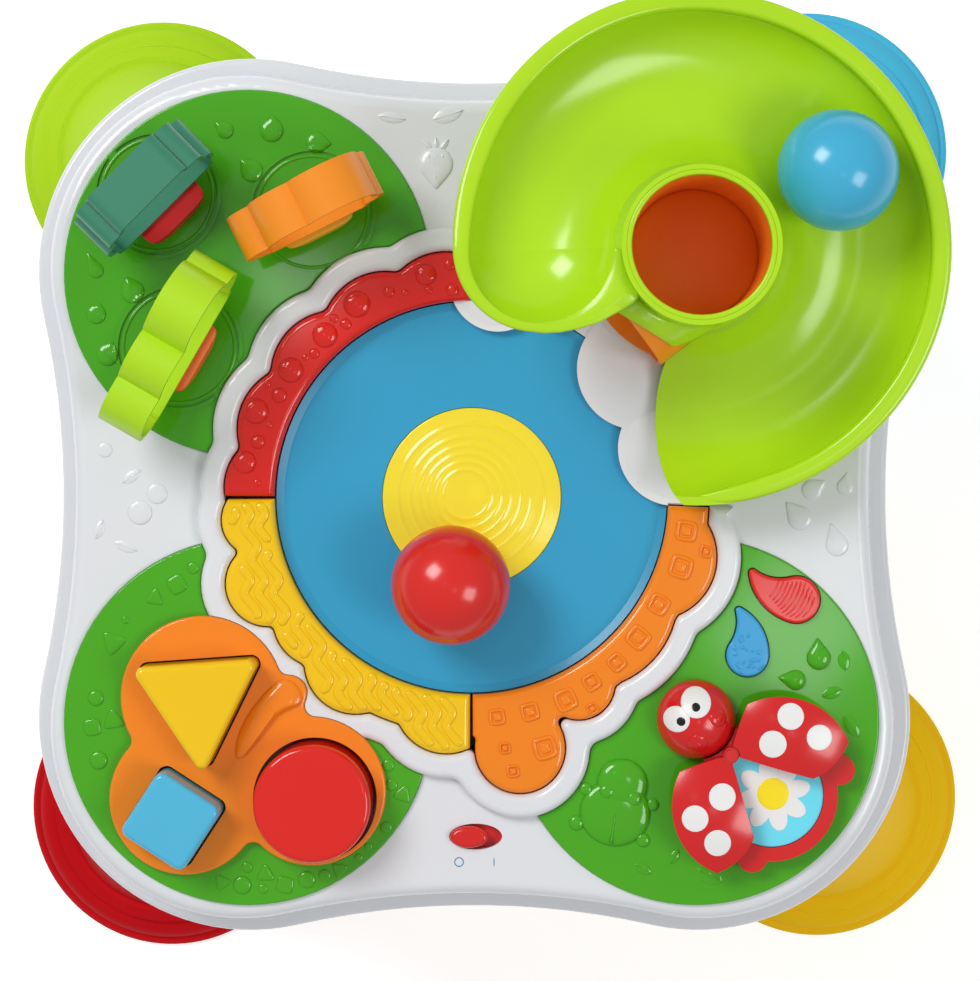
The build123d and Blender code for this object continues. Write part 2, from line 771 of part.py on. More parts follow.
with BuildPart() as lamp_lens:
    with BuildSketch(Plane.XZ):
        with BuildLine():
            inner = lens_radius - lens_thickness
            inner_rise = lens_rise + lens_seat_depth - lens_thickness
            crown = (0, tray_floor + lens_rise)
            hollow_crown = (0, lens_base + inner_rise)
            outer_middle = (lens_radius / 2, tray_floor + cap_height(lens_radius, lens_rise, lens_radius / 2))
            inner_middle = (inner / 2, lens_base + cap_height(inner, inner_rise, inner / 2))
            ThreePointArc(crown, outer_middle, (lens_radius, tray_floor))
            Polyline((lens_radius, tray_floor), (lens_radius, lens_base), (inner, lens_base))
            ThreePointArc((inner, lens_base), inner_middle, hollow_crown)
            Line(hollow_crown, crown)
        make_face()
    revolve(axis=Axis.Z)
finish(lamp_lens, "lamp_lens")

board_base = mid_floor + board_rise
board_top = board_base + board_thickness
reflector_wall = 1.6
reflector_low = 13.0
reflector_high = lens_hole + reflector_wall
with BuildPart() as lamp_reflector:
    with BuildSketch(Plane.XZ):
        with BuildLine():
            Polyline(
                (reflector_low, board_top),
                (reflector_high, tray_under - reflector_wall),
                (lens_radius, tray_under - reflector_wall),
                (lens_radius, tray_under),
                (reflector_high - reflector_wall, tray_under),
                (reflector_low - reflector_wall, board_top),
                close=True,
            )
        make_face()
    revolve(axis=Axis.Z)
finish(lamp_reflector, "lamp_reflector")

led_radius = 2.5
with BuildPart() as lamp_led:
    with Locations((0, 0, board_top)):
        Cylinder(led_radius + 0.5, 1, align=(Align.CENTER, Align.CENTER, Align.MIN))
        Cylinder(led_radius, 6, align=(Align.CENTER, Align.CENTER, Align.MIN))
    with Locations((0, 0, board_top + 6)):
        Sphere(led_radius)
finish(lamp_led, "lamp_led")

# ---------------------------------------------------------------- press keys and their rubber pads
keys = {
    "red_key": (red_lobes, collar_start, collar_start + 90, False),
    "yellow_key": (yellow_lobes, collar_start + 90, collar_start + 180, False),
    "orange_key": (orange_lobes, collar_start + 180, collar_end, True),
}
key_skin = 3.0
key_wall = 2.4
pad_radius = plunger_radius + 1.0

for name, (lobes, start, end, with_big_lobe) in keys.items():
    first = start + key_seam
    last = end - key_seam
    plunger_spots = [polar(plunger_circle, start + share * (end - start)) for share in (0.15, 0.5, 0.85)]
    with BuildPart() as key:
        with BuildSketch(Plane.XY.offset(key_base)):
            key_shape(lobes, first, last, 0, with_big_lobe)
        extrude(amount=key_thickness)
        fillet(key.faces().sort_by(Axis.Z)[-1].edges(), key_round)
        with BuildSketch(Plane.XY.offset(key_base)):
            key_shape(lobes, first + 1.4, last - 1.4, -key_wall, with_big_lobe)
        extrude(amount=key_thickness - key_skin, mode=Mode.SUBTRACT)
        with BuildSketch(Plane.XY.offset(pad_top)):
            with Locations(*plunger_spots):
                Circle(plunger_radius)
        extrude(amount=key_top - key_skin - pad_top)
    finish(key, name)
    with BuildPart() as pads:
        with Locations(*[(x, y, flange_top) for x, y in plunger_spots]):
            Cone(pad_radius + 1, pad_radius - 1, pad_height, align=(Align.CENTER, Align.CENTER, Align.MIN))
            Cone(pad_radius + 1 - pad_wall, pad_radius - 1 - pad_wall, pad_height - pad_wall,
                 align=(Align.CENTER, Align.CENTER, Align.MIN), mode=Mode.SUBTRACT)
    finish(pads, name + "_pads")

# ---------------------------------------------------------------- orange tower with the way out
tower_axis = Axis((tower_x, tower_y, 0), (0, 0, 1))
tower = Plane((tower_x, tower_y, 0))
way_out = polar(1, chute_angle)
chute_level = chute_bottom + chute_floor


def tower_point(radius, angle, height):
    """Give a point by its radius and angle about the tower's axis."""
    x, y = polar(radius, angle)
    return (tower_x + x, tower_y + y, height)


def tunnel_plane(reach):
    """Give the upright plane across the way out, at a distance from the tower's axis."""
    origin = tower_point(reach, chute_angle, 0)
    return Plane(origin=origin, x_dir=(-way_out[1], way_out[0], 0), z_dir=(way_out[0], way_out[1], 0))


def arch(half_width, foot):
    """Draw the way out's arch: a round head over straight sides."""
    with Locations((0, tunnel_axis)):
        Circle(half_width)
    with Locations((0, (foot + tunnel_axis) / 2)):
        Rectangle(2 * half_width, tunnel_axis - foot)


with BuildPart() as tower_chute:
    with BuildSketch(tower.offset(chute_bottom)):
        Circle(chute_base_radius)
        base_rim = [polar(300, angle) for angle in (60, 110, 155, 200, 248)]
        Polygon((0, 0), *base_rim, align=None, mode=Mode.INTERSECT)
        Circle(tube_bore + tube_wall)
    extrude(amount=chute_floor)
    with BuildSketch(tower.offset(chute_bottom)):
        Circle(chute_base_radius)
        Polygon((0, 0), *base_rim, align=None, mode=Mode.INTERSECT)
        Circle(tube_bore, mode=Mode.SUBTRACT)
    extrude(amount=chute_base_top - chute_bottom)
    with BuildSketch(tower.offset(chute_bottom)):
        Circle(tube_bore + tube_wall)
    extrude(amount=tube_top - chute_bottom)
    with BuildSketch(tunnel_plane(0)):
        arch(chute_half_width + tube_wall, chute_bottom)
    extrude(amount=chute_reach)
    with BuildSketch(tower.offset(chute_level)):
        Circle(tube_bore)
    extrude(amount=tube_top - chute_bottom, mode=Mode.SUBTRACT)
    with BuildSketch(tunnel_plane(0)):
        arch(chute_half_width, chute_level)
    extrude(amount=2 * chute_reach, mode=Mode.SUBTRACT)
finish(tower_chute, "tower_chute")

# ---------------------------------------------------------------- cloud under the tower
cloud_lobes = [(14.0, 113.0, 25.3), (48.0, 112.5, 24.0), (88.0, 68.0, 32.2), (108.0, 26.0, 30.5)]
with BuildPart() as cloud_cover:
    with BuildSketch(Plane.XY.offset(deck)):
        with Locations((tower_x, tower_y)):
            Circle(cloud_pad_radius)
    extrude(amount=cloud_rise)
    with BuildSketch(Plane.XY.offset(deck)):
        for x, y, radius in cloud_lobes:
            with Locations((x, y)):
                Circle(radius)
    extrude(amount=cloud_slab)
    for x, y, radius in cloud_lobes:
        with Locations((x, y, deck + cloud_slab - cloud_sink)):
            dome(radius - cloud_sink / 2, cloud_dome + cloud_sink)
    for first, last in ((89.6, 150), (300, 358.4)):
        with BuildSketch(Plane.XY.offset(deck)):
            Circle(2 * tray_radius)
            keep_sector(first, last)
            Circle(tray_radius + slide_gap, mode=Mode.SUBTRACT)
        extrude(amount=2 * cloud_rise, mode=Mode.SUBTRACT)
    with BuildSketch(Plane.XY.offset(chute_bottom)):
        with Locations((tower_x, tower_y)):
            Circle(chute_base_radius)
    extrude(amount=2 * cloud_rise, mode=Mode.SUBTRACT)
    with BuildSketch(tunnel_plane(0)):
        arch(chute_half_width + tube_wall + seat_gap, chute_bottom)
    extrude(amount=chute_reach + seat_gap, mode=Mode.SUBTRACT)
finish(cloud_cover, "cloud_cover")

# ---------------------------------------------------------------- spiral slide
channel_span = crown_angle - mouth_angle


def channel_floor(angle):
    """Give the channel floor's height: a gentle run-out below a steeper start."""
    share = max(0.0, (angle - mouth_angle) / channel_span)
    return deck + channel_low + channel_drop_low * share + channel_drop_high * share**2


def channel_ease(angle):
    """Give how far the channel has closed in towards the tube, from 0 to 1."""
    share = min(1.0, max(0.0, (angle - crown_start) / (crown_angle - crown_start)))
    return share * share * (3 - 2 * share)


def channel_arc(half_width, depth, share):
    """Give a point on the round floor of the channel, from its lowest point to its rim."""
    radius = (half_width**2 + depth**2) / (2 * depth)
    angle = share * math.asin(half_width / radius)
    return (radius * math.sin(angle), radius * (1 - math.cos(angle)))


def channel_plane(angle):
    """Give the upright plane across the channel, its X pointing away from the tower."""
    origin = tower_point(channel_radius - crown_shift * channel_ease(angle), angle, channel_floor(angle))
    return Plane(origin=origin, x_dir=(*polar(1, angle), 0), z_dir=(*polar(1, angle - 90), 0))


under_width = 2.0
with BuildPart() as slide:
    for step in range(channel_steps):
        angle = mouth_angle - 16 + (channel_span + 16) * step / (channel_steps - 1)
        half = channel_half_width - crown_pinch * channel_ease(angle)
        inner_end = sleeve_bore + 0.4 - (channel_radius - crown_shift * channel_ease(angle))
        under = channel_depth - channel_lip_height
        with BuildSketch(channel_plane(angle)):
            with BuildLine():
                Line((inner_end, channel_depth), (-half, channel_depth))
                ThreePointArc((-half, channel_depth), (0, 0), (half, channel_depth))
                Polyline(
                    (half, channel_depth),
                    (half + channel_lip, channel_depth),
                    (half + channel_lip, under),
                    (half + under_width, under),
                )
                ThreePointArc((half + under_width, under), (0, -channel_wall), (-half - under_width, under))
                Polyline((-half - under_width, under), (inner_end, under), (inner_end, channel_depth))
            make_face()
    loft()
    # round high end
    half = channel_half_width - crown_pinch
    under = channel_depth - channel_lip_height
    low_middle = channel_arc(half + under_width, under + channel_wall, 0.5)
    with BuildSketch(channel_plane(crown_angle)):
        with BuildLine():
            ThreePointArc((0, 0), channel_arc(half, channel_depth, 0.5), (half, channel_depth))
            Polyline(
                (half, channel_depth),
                (half + channel_lip, channel_depth),
                (half + channel_lip, under),
                (half + under_width, under),
            )
            ThreePointArc((half + under_width, under), (low_middle[0], low_middle[1] - channel_wall),
                          (0, -channel_wall))
            Line((0, -channel_wall), (0, 0))
        make_face()
    revolve(axis=Axis(channel_plane(crown_angle).origin, (0, 0, 1)), revolution_arc=180)
    # sleeve round the tower with its flared skirt
    with BuildSketch(Plane(origin=(tower_x, tower_y, 0), x_dir=(1, 0, 0), z_dir=(0, -1, 0))):
        with BuildLine():
            Polyline(
                (sleeve_bore, sleeve_top),
                (sleeve_radius, sleeve_top),
                (sleeve_radius, chute_base_top + skirt_rise),
                (skirt_radius, chute_base_top),
                (sleeve_bore, chute_base_top),
                close=True,
            )
        make_face()
    revolve(axis=tower_axis)
    with BuildSketch(tower.offset(deck)):
        Circle(sleeve_bore)
    extrude(amount=sleeve_top - deck, mode=Mode.SUBTRACT)
    with BuildSketch(tunnel_plane(0)):
        arch(chute_half_width + tube_wall + seat_gap, chute_bottom)
    extrude(amount=chute_reach + 1, mode=Mode.SUBTRACT)
    # open mouth with a round tongue
    with BuildSketch(tower.offset(deck)):
        mouth_rim = [polar(300, angle) for angle in (-90, -110, -130)]
        Polygon((0, 0), *mouth_rim, align=None)
        Circle(skirt_radius, mode=Mode.SUBTRACT)
        with Locations((0, -channel_radius - 2)):
            Ellipse(tongue_reach, channel_half_width + channel_lip, mode=Mode.SUBTRACT)
    extrude(amount=channel_low + 2 * channel_depth, mode=Mode.SUBTRACT)
finish(slide, "slide")

# ---------------------------------------------------------------- shape sorter
block_base = well_floor + 0.1
block_top = plate_top + block_rise
with BuildPart() as sorter_plate:
    with BuildSketch(Plane.XY.offset(panel_top)):
        plate_shape()
    extrude(amount=plate_thickness)
    fillet(sorter_plate.faces().sort_by(Axis.Z)[-1].edges(), plate_round)
    with BuildSketch(Plane.XY.offset(well_floor - well_wall)):
        sorter_wells(well_wall)
    extrude(amount=panel_top - well_floor + well_wall)
    with BuildSketch(Plane.XY.offset(well_floor)):
        sorter_wells(0)
    extrude(amount=plate_top - well_floor, mode=Mode.SUBTRACT)
finish(sorter_plate, "sorter_plate")

with BuildPart() as cylinder_block:
    with BuildSketch(Plane.XY.offset(block_base)):
        with Locations(disc_hole):
            Circle(disc_hole_radius - block_gap)
    extrude(amount=block_top - block_base)
    fillet(cylinder_block.faces().sort_by(Axis.Z)[-1].edges(), block_round)
finish(cylinder_block, "cylinder_block")

with BuildPart() as square_block:
    with BuildSketch(Plane.XY.offset(block_base)):
        with Locations(Location((square_hole[0], square_hole[1], 0), (0, 0, square_turn))):
            RectangleRounded(square_hole_side - block_gap, square_hole_side - block_gap, square_round)
    extrude(amount=block_top - block_base)
    fillet(square_block.faces().sort_by(Axis.Z)[-1].edges(), block_round)
finish(square_block, "square_block")

with BuildPart() as triangle_block:
    with BuildSketch(mode=Mode.PRIVATE) as triangle_face:
        rounded_triangle(triangle_hole_side - block_gap * math.sqrt(3), triangle_round - block_gap / 2)
    with BuildSketch(Plane.XY.offset(block_base)):
        with Locations(Location((triangle_hole[0], triangle_hole[1], 0), (0, 0, triangle_turn))):
            add(triangle_face.sketch)
    extrude(amount=block_top - block_base)
    fillet(triangle_block.faces().sort_by(Axis.Z)[-1].edges(), block_round)
finish(triangle_block, "triangle_block")

# ---------------------------------------------------------------- balls
lens_ball = (lens_radius**2 + lens_rise**2) / (2 * lens_rise)
lens_centre = tray_floor + lens_rise - lens_ball
tray_ball_offset = math.hypot(tray_ball_x, tray_ball_y)
tray_ball_z = lens_centre + math.sqrt((lens_ball + ball_radius + 0.1)**2 - tray_ball_offset**2)
slide_ball_z = channel_floor(slide_ball_angle) + ball_radius * 1.012 + seat_gap
ball_places = {
    "red_ball": (tray_ball_x, tray_ball_y, tray_ball_z),
    "blue_ball": tower_point(slide_ball_radius, slide_ball_angle, slide_ball_z),
}
for name, place in ball_places.items():
    with BuildPart() as ball:
        with Locations(place):
            Sphere(ball_radius)
    finish(ball, name)

# ---------------------------------------------------------------- ladybird
bug_heading = -45.0
picture_radius = bug_radius - 4.5
picture_depth = 2.5
picture_thickness = 1.5
feet = [(193.7, -142.7, 8.0), (147.9, -188.5, 8.0)]
neck_width = 28.0
with BuildPart() as ladybird_body:
    with BuildSketch(Plane.XY.offset(bug_base)):
        with Locations((bug_x, bug_y)):
            Circle(bug_radius + bug_rim)
        with Locations((wing_pivot_x, wing_pivot_y)):
            Circle(neck_width / 2)
        with Locations(*[(x, y) for x, y, radius in feet]):
            Circle(feet[0][2])
    extrude(amount=bug_height)
    with BuildSketch(Plane.XY.offset(bug_top - picture_depth)):
        with Locations((bug_x, bug_y)):
            Circle(picture_radius + seat_gap)
    extrude(amount=picture_depth, mode=Mode.SUBTRACT)
    with BuildSketch(Plane.XY.offset(bug_base)):
        with Locations((head_x, head_y)):
            Circle(head_radius + seat_gap)
    extrude(amount=bug_height, mode=Mode.SUBTRACT)
    with BuildSketch(Plane.XY.offset(bug_base + 2)):
        with Locations((wing_pivot_x, wing_pivot_y)):
            Circle(wing_pin_radius)
    extrude(amount=bug_height, mode=Mode.SUBTRACT)
    with BuildSketch(Plane.XY.offset(bug_top)):
        with Locations((wing_pivot_x, wing_pivot_y)):
            Circle(wing_eye_radius)
            Circle(wing_pin_radius, mode=Mode.SUBTRACT)
    extrude(amount=wing_lift - wing_gap)
finish(ladybird_body, "ladybird_body")

with BuildPart() as picture_disc:
    with BuildSketch(Plane.XY.offset(bug_top - picture_depth)):
        with Locations((bug_x, bug_y)):
            Circle(picture_radius)
    extrude(amount=picture_thickness)
finish(picture_disc, "picture_disc")

head_base = 6.0
eye_spots = [(107.9, -115.5, 6.6), (117.8, -106.6, 7.3)]
with BuildPart() as ladybird_head:
    with BuildSketch(Plane.XY.offset(bug_base)):
        with Locations((head_x, head_y)):
            Circle(head_radius)
    extrude(amount=head_base)
    with Locations((head_x, head_y, bug_base + head_base)):
        dome(head_radius, head_height - head_base)
finish(ladybird_head, "ladybird_head")

with BuildPart() as ladybird_eyes:
    for x, y, radius in eye_spots:
        inset = math.hypot(x - head_x, y - head_y)
        seat = bug_base + head_base + cap_height(head_radius, head_height - head_base, inset)
        with Locations((x, y, seat - radius / 2)):
            Sphere(radius)
    add(ladybird_head.part, mode=Mode.SUBTRACT)
    with BuildSketch(Plane.XY.offset(bug_base)):
        with Locations((head_x, head_y)):
            Circle(2 * head_radius)
    extrude(amount=head_base + 2, mode=Mode.SUBTRACT)
finish(ladybird_eyes, "ladybird_eyes")

wing_back_angle = 133.0
wing_tip_angle = 38.7
wing_root_radius = 15.0
for name, side in (("upper_wing", 1), ("lower_wing", -1)):
    heading = bug_heading + side * wing_open
    root = Plane(origin=(wing_pivot_x, wing_pivot_y, wing_base), x_dir=(*polar(1, heading), 0))
    tip = (wing_reach + polar(wing_radius, wing_tip_angle)[0], side * polar(wing_radius, wing_tip_angle)[1])
    back = (wing_reach + polar(wing_radius, wing_back_angle)[0], side * polar(wing_radius, wing_back_angle)[1])
    shoulder = (wing_reach, side * wing_radius)
    edge = side * wing_gap
    eye_level = 0 if side > 0 else wing_eye_height + wing_gap
    dome_plane = root.location * Location((wing_reach, side * wing_radius / 2, wing_height - wing_dome))
    with BuildPart() as wing:
        with BuildSketch(root):
            with BuildLine():
                Line((0, edge), (44.5, edge))
                ThreePointArc((44.5, edge), (53.5, side * 11.5), tip)
                ThreePointArc(tip, shoulder, back)
                ThreePointArc(back, (-0.5, side * 14.0), (0, edge))
            make_face()
        extrude(amount=wing_height)
        with Locations(dome_plane):
            Sphere(wing_dome, mode=Mode.INTERSECT)
        with BuildPart(mode=Mode.PRIVATE) as hollow:
            with Locations(dome_plane):
                Sphere(wing_dome - wing_thickness)
            with Locations(root.location):
                Cylinder(wing_root_radius, 4 * wing_height, mode=Mode.SUBTRACT)
        add(hollow.part, mode=Mode.SUBTRACT)
        with BuildSketch(root):
            Circle(wing_eye_radius + wing_gap)
        extrude(amount=wing_height, mode=Mode.SUBTRACT)
        with BuildSketch(root.offset(eye_level)):
            Circle(wing_eye_radius)
            Polygon((0, side * wing_eye_radius), (0, edge), (12, edge), (12, side * 10), (4, side * 12), align=None)
            Circle(wing_pin_radius + running_fit, mode=Mode.SUBTRACT)
        extrude(amount=wing_eye_height)
    finish(wing, name)

with BuildPart() as wing_pin:
    with Locations((wing_pivot_x, wing_pivot_y, bug_base + 2)):
        pin_length = wing_base - bug_base - 2 + 2 * (wing_eye_height + wing_gap)
        Cylinder(wing_pin_radius, pin_length, align=(Align.CENTER, Align.CENTER, Align.MIN))
    with Locations((wing_pivot_x, wing_pivot_y, bug_base + 2 + pin_length)):
        Cylinder(wing_eye_radius - 1, 1.2, align=(Align.CENTER, Align.CENTER, Align.MIN))
finish(wing_pin, "wing_pin")

# ---------------------------------------------------------------- droplet buttons
button_base = button_floor + button_travel + 1.2
button_top = panel_top + button_rise
for name, (x, y, heading, bulb, tip, full_side) in {"red_button": red_drop, "blue_button": blue_drop}.items():
    with BuildPart() as button:
        with BuildSketch(Plane(origin=(x, y, button_base), x_dir=(*polar(1, heading), 0))):
            droplet(bulb, tip, full_side)
        extrude(amount=button_top - button_base)
        fillet(button.faces().sort_by(Axis.Z)[-1].edges(), button_round)
    finish(button, name)
    with BuildPart() as button_pad:
        with Locations((x, y, button_floor)):
            Cone(button_pad_radius + 1, button_pad_radius, button_base - button_floor,
                 align=(Align.CENTER, Align.CENTER, Align.MIN))
            Cylinder(button_pad_radius - pad_wall, button_base - button_floor - pad_wall,
                     align=(Align.CENTER, Align.CENTER, Align.MIN), mode=Mode.SUBTRACT)
    finish(button_pad, name + "_pad")

# ---------------------------------------------------------------- power switch
knob_base = trough_floor + seat_gap
with BuildPart() as switch_knob:
    with BuildSketch(Plane.XY.offset(knob_base)):
        with Locations((switch_x - switch_travel / 2, switch_y)):
            Ellipse(switch_knob_length / 2, switch_knob_width / 2)
    extrude(amount=deck + switch_rise - knob_base)
    fillet(switch_knob.faces().sort_by(Axis.Z)[-1].edges(), switch_knob_round)
    with BuildSketch(Plane.XY.offset(knob_base)):
        with Locations((switch_x - switch_travel / 2, switch_y)):
            SlotOverall(switch_plate_length, switch_plate_width)
    extrude(amount=switch_plate_thickness)
finish(switch_knob, "switch_knob")

# ---------------------------------------------------------------- spinners
tier_round = 6.0
teal_tiers = [(68, 0, 20), (75, 15, 35), (66, 30, 49), (48, 40, 56)]
orange_lumps = [(-25.0, 19.0, 14.5), (-7.0, 31.0, 19.0), (14.0, 34.0, 22.0), (27.3, 21.0, 12.0)]
lime_lumps = [(-31.0, 20.0, 19.0), (-9.0, 30.0, 18.0), (21.0, 34.0, 22.0), (37.0, 21.0, 13.0)]
hub_names = {"teal": "red_hub", "orange": "yellow_hub", "lime": "orange_hub"}
foot_strip = {"orange": 60.0, "lime": 80.0}

for colour, (x, y, heading) in spinners.items():
    upright = Plane(origin=(x, y, spinner_base), x_dir=(*polar(1, heading), 0), z_dir=(*polar(1, heading - 90), 0))
    with BuildPart() as spinner:
        with BuildSketch(upright) as band:
            if colour == "teal":
                for width, low, high in teal_tiers:
                    with Locations((0, (low + high) / 2)):
                        RectangleRounded(width, high - low, tier_round)
            else:
                for along, level, radius in (orange_lumps if colour == "orange" else lime_lumps):
                    with Locations((along, level)):
                        Circle(radius)
                with Locations((0, 10)):
                    RectangleRounded(foot_strip[colour], 20, tier_round)
            offset(amount=-spinner_wall, mode=Mode.SUBTRACT)
        extrude(amount=spinner_width / 2, both=True)
    finish(spinner, f"{colour}_spinner")
    with BuildPart() as hub:
        with BuildSketch(upright):
            Polygon((-hub_low_half, -hub_height + 1), (hub_low_half, -hub_height + 1), (hub_high_half, 0),
                    (-hub_high_half, 0), align=None)
        extrude(amount=hub_half_width, both=True)
        with Locations((x, y, panel_top + seat_gap)):
            Cylinder(hub_low_half + 3, 3, align=(Align.CENTER, Align.CENTER, Align.MIN))
            Cylinder(axle_radius + running_fit, hub_height - 5, align=(Align.CENTER, Align.CENTER, Align.MIN),
                     mode=Mode.SUBTRACT)
    finish(hub, hub_names[colour])

with BuildPart() as spinner_axles:
    with Locations(*[(x, y, socket_floor) for x, y, heading in spinners.values()]):
        Cylinder(axle_radius, panel_top - socket_floor + hub_height - 6,
                 align=(Align.CENTER, Align.CENTER, Align.MIN))
finish(spinner_axles, "spinner_axles")

# ---------------------------------------------------------------- electronics
with BuildPart() as circuit_board:
    with BuildSketch(Plane.XY.offset(board_base)):
        Rectangle(board_length, board_width)
        with Locations(*board_spots):
            Circle(screw_radius, mode=Mode.SUBTRACT)
    extrude(amount=board_thickness)
    with BuildSketch(Plane.XY.offset(board_top)):
        with Locations((-32, 12), (30, -18)):
            Rectangle(16, 12)
        with Locations((-30, -20), (34, 14)):
            Circle(4)
    extrude(amount=3)
finish(circuit_board, "circuit_board")

with BuildPart() as speaker:
    with Locations((speaker_x, 0, mid_floor)):
        Cylinder(speaker_radius, 3, align=(Align.CENTER, Align.CENTER, Align.MIN))
        Cone(speaker_radius - 2, 15, speaker_height - 5, align=(Align.CENTER, Align.CENTER, Align.MIN))
        Cylinder(13, speaker_height, align=(Align.CENTER, Align.CENTER, Align.MIN))
        Cone(speaker_radius - 4, 6, 6, align=(Align.CENTER, Align.CENTER, Align.MIN), mode=Mode.SUBTRACT)
finish(speaker, "speaker")

battery_level = mid_floor + battery_radius + 0.5
battery_rows = [(row - (battery_count - 1) / 2) * battery_pitch for row in range(battery_count)]
with BuildPart() as batteries:
    for row in battery_rows:
        with Locations(Location((0, row, battery_level), (0, 90, 0))):
            Cylinder(battery_radius, battery_length - 1)
            Cylinder(battery_radius / 3, battery_length)
finish(batteries, "batteries")

contact_thickness = 0.8
contact_size = 12.0
with BuildPart() as battery_contacts:
    for side in (-1, 1):
        for row in battery_rows:
            plate_x = side * (battery_bay_length - contact_thickness) / 2
            with Locations((plate_x, row, battery_level)):
                Box(contact_thickness, contact_size, contact_size)
            spring_length = (battery_bay_length - battery_length) / 2 - contact_thickness
            spring_x = side * (battery_length + spring_length) / 2
            with Locations(Location((spring_x, row, battery_level), (0, 90 * side, 0))):
                Cone(2.2, 4, spring_length)
finish(battery_contacts, "battery_contacts")

with BuildPart() as battery_door:
    with BuildSketch(Plane.XY.offset(door_seat - door_thickness)):
        door_shape(0)
    extrude(amount=door_thickness)
    with BuildSketch(Plane.XY.offset(casing_base)):
        with Locations((door_screw_x, 0)):
            Circle(screw_radius + 0.2)
    extrude(amount=wall, mode=Mode.SUBTRACT)
finish(battery_door, "battery_door")

with BuildPart() as door_screw:
    with Locations((door_screw_x, 0, casing_base - 1.4)):
        Cylinder(screw_head_radius, door_seat - door_thickness - casing_base + 1.4,
                 align=(Align.CENTER, Align.CENTER, Align.MIN))
        Cylinder(screw_radius, door_screw_length, align=(Align.CENTER, Align.CENTER, Align.MIN))
finish(door_screw, "door_screw")

with BuildPart() as casing_screws:
    with Locations(*[(x, y, casing_base + 1.5) for x, y in screw_spots]):
        Cylinder(screw_head_radius, 2.5, align=(Align.CENTER, Align.CENTER, Align.MIN))
        Cylinder(screw_radius, 36, align=(Align.CENTER, Align.CENTER, Align.MIN))
finish(casing_screws, "casing_screws")
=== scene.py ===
"""Looks of a toddler's musical activity table: moulded plastic, raised ornament and loose toys."""
import logging
import math
from dataclasses import dataclass
from enum import Enum
from typing import Dict, List, Optional, Sequence, Tuple

import bpy
import numpy as np
from mathutils.bvhtree import BVHTree
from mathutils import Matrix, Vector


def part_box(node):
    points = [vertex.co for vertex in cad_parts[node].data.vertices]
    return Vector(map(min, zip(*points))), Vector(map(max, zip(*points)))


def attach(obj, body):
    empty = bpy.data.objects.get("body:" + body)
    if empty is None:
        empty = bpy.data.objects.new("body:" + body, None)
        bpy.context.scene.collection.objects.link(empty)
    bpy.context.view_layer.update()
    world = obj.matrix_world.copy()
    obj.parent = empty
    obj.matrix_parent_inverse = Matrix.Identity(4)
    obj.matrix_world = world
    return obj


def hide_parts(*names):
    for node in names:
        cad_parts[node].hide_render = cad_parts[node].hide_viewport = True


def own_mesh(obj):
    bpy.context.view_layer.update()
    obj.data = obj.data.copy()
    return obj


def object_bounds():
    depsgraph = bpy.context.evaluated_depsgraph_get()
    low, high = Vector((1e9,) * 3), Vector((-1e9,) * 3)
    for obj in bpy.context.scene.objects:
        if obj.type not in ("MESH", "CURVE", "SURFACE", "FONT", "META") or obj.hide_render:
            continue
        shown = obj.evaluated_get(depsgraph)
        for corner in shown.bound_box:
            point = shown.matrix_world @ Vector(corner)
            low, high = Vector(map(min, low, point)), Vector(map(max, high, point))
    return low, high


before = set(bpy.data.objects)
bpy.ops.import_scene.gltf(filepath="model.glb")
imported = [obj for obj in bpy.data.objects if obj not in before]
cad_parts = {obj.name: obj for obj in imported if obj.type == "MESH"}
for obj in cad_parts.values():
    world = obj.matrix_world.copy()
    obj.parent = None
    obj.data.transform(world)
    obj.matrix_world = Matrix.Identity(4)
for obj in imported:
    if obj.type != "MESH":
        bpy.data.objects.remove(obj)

LOG = logging.getLogger("activity_table")
CAD_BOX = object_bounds()
MM = 0.001

Colour = Tuple[float, float, float, float]
Point2 = Tuple[float, float]
Point3 = Tuple[float, float, float]
Spot = Tuple[float, float, float]  # plan x and y, radius or side
Turned = Tuple[float, float, float, float]  # plan x and y, side, heading in degrees
Blade = Tuple[float, float, float, float, float]  # plan x and y, length, width, heading in degrees
Drop = Tuple[float, float, float, float, float]  # bulb x, y and radius, tip x and y

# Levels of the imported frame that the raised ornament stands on, in millimetres.
DECK = 352.0
PANEL_TOP = 354.5
KEY_TOP = 358.0
BUTTON_RISE = 3.0
PLATE_RISE = 5.5

# Noise scales, per metre, and relief depths, in metres, of the plastics.
FLOW_SCALE = 14.0
GRAIN_SCALE = 1250.0  # spark-eroded grain, about 0.8 mm across so that it just shows
GRAIN_DEPTH = 0.00004
RIPPLE_SCALE = 90.0
RIPPLE_DEPTH = 0.0003
TURNING_SCALE = 900.0


# ---------------------------------------------------------------- finishes
def linear(code: str) -> Colour:
    """Turn an sRGB hex colour into linear light.

    Args:
        code: The colour as "#RRGGBB".

    Returns:
        Linear red, green, blue and an alpha of 1.
    """
    srgb = np.array([int(code[i:i + 2], 16) for i in (1, 3, 5)]) / 255.0
    light = np.where(srgb <= 0.04045, srgb / 12.92, ((srgb + 0.055) / 1.055) ** 2.4)
    return (float(light[0]), float(light[1]), float(light[2]), 1.0)


def node(tree: bpy.types.NodeTree, kind: str, settings: Optional[Dict] = None,
         inputs: Optional[Dict] = None) -> bpy.types.Node:
    """Add a shader node.

    Args:
        tree: The node tree it goes into.
        kind: Blender's name of the node type.
        settings: Attributes to set on the node.
        inputs: Socket name to a value, or to the output socket that feeds it.

    Returns:
        The new node.
    """
    made = tree.nodes.new(kind)
    for key, value in (settings or {}).items():
        setattr(made, key, value)
    for key, value in (inputs or {}).items():
        if isinstance(value, bpy.types.NodeSocket):
            tree.links.new(value, made.inputs[key])
        else:
            made.inputs[key].default_value = value
    return made


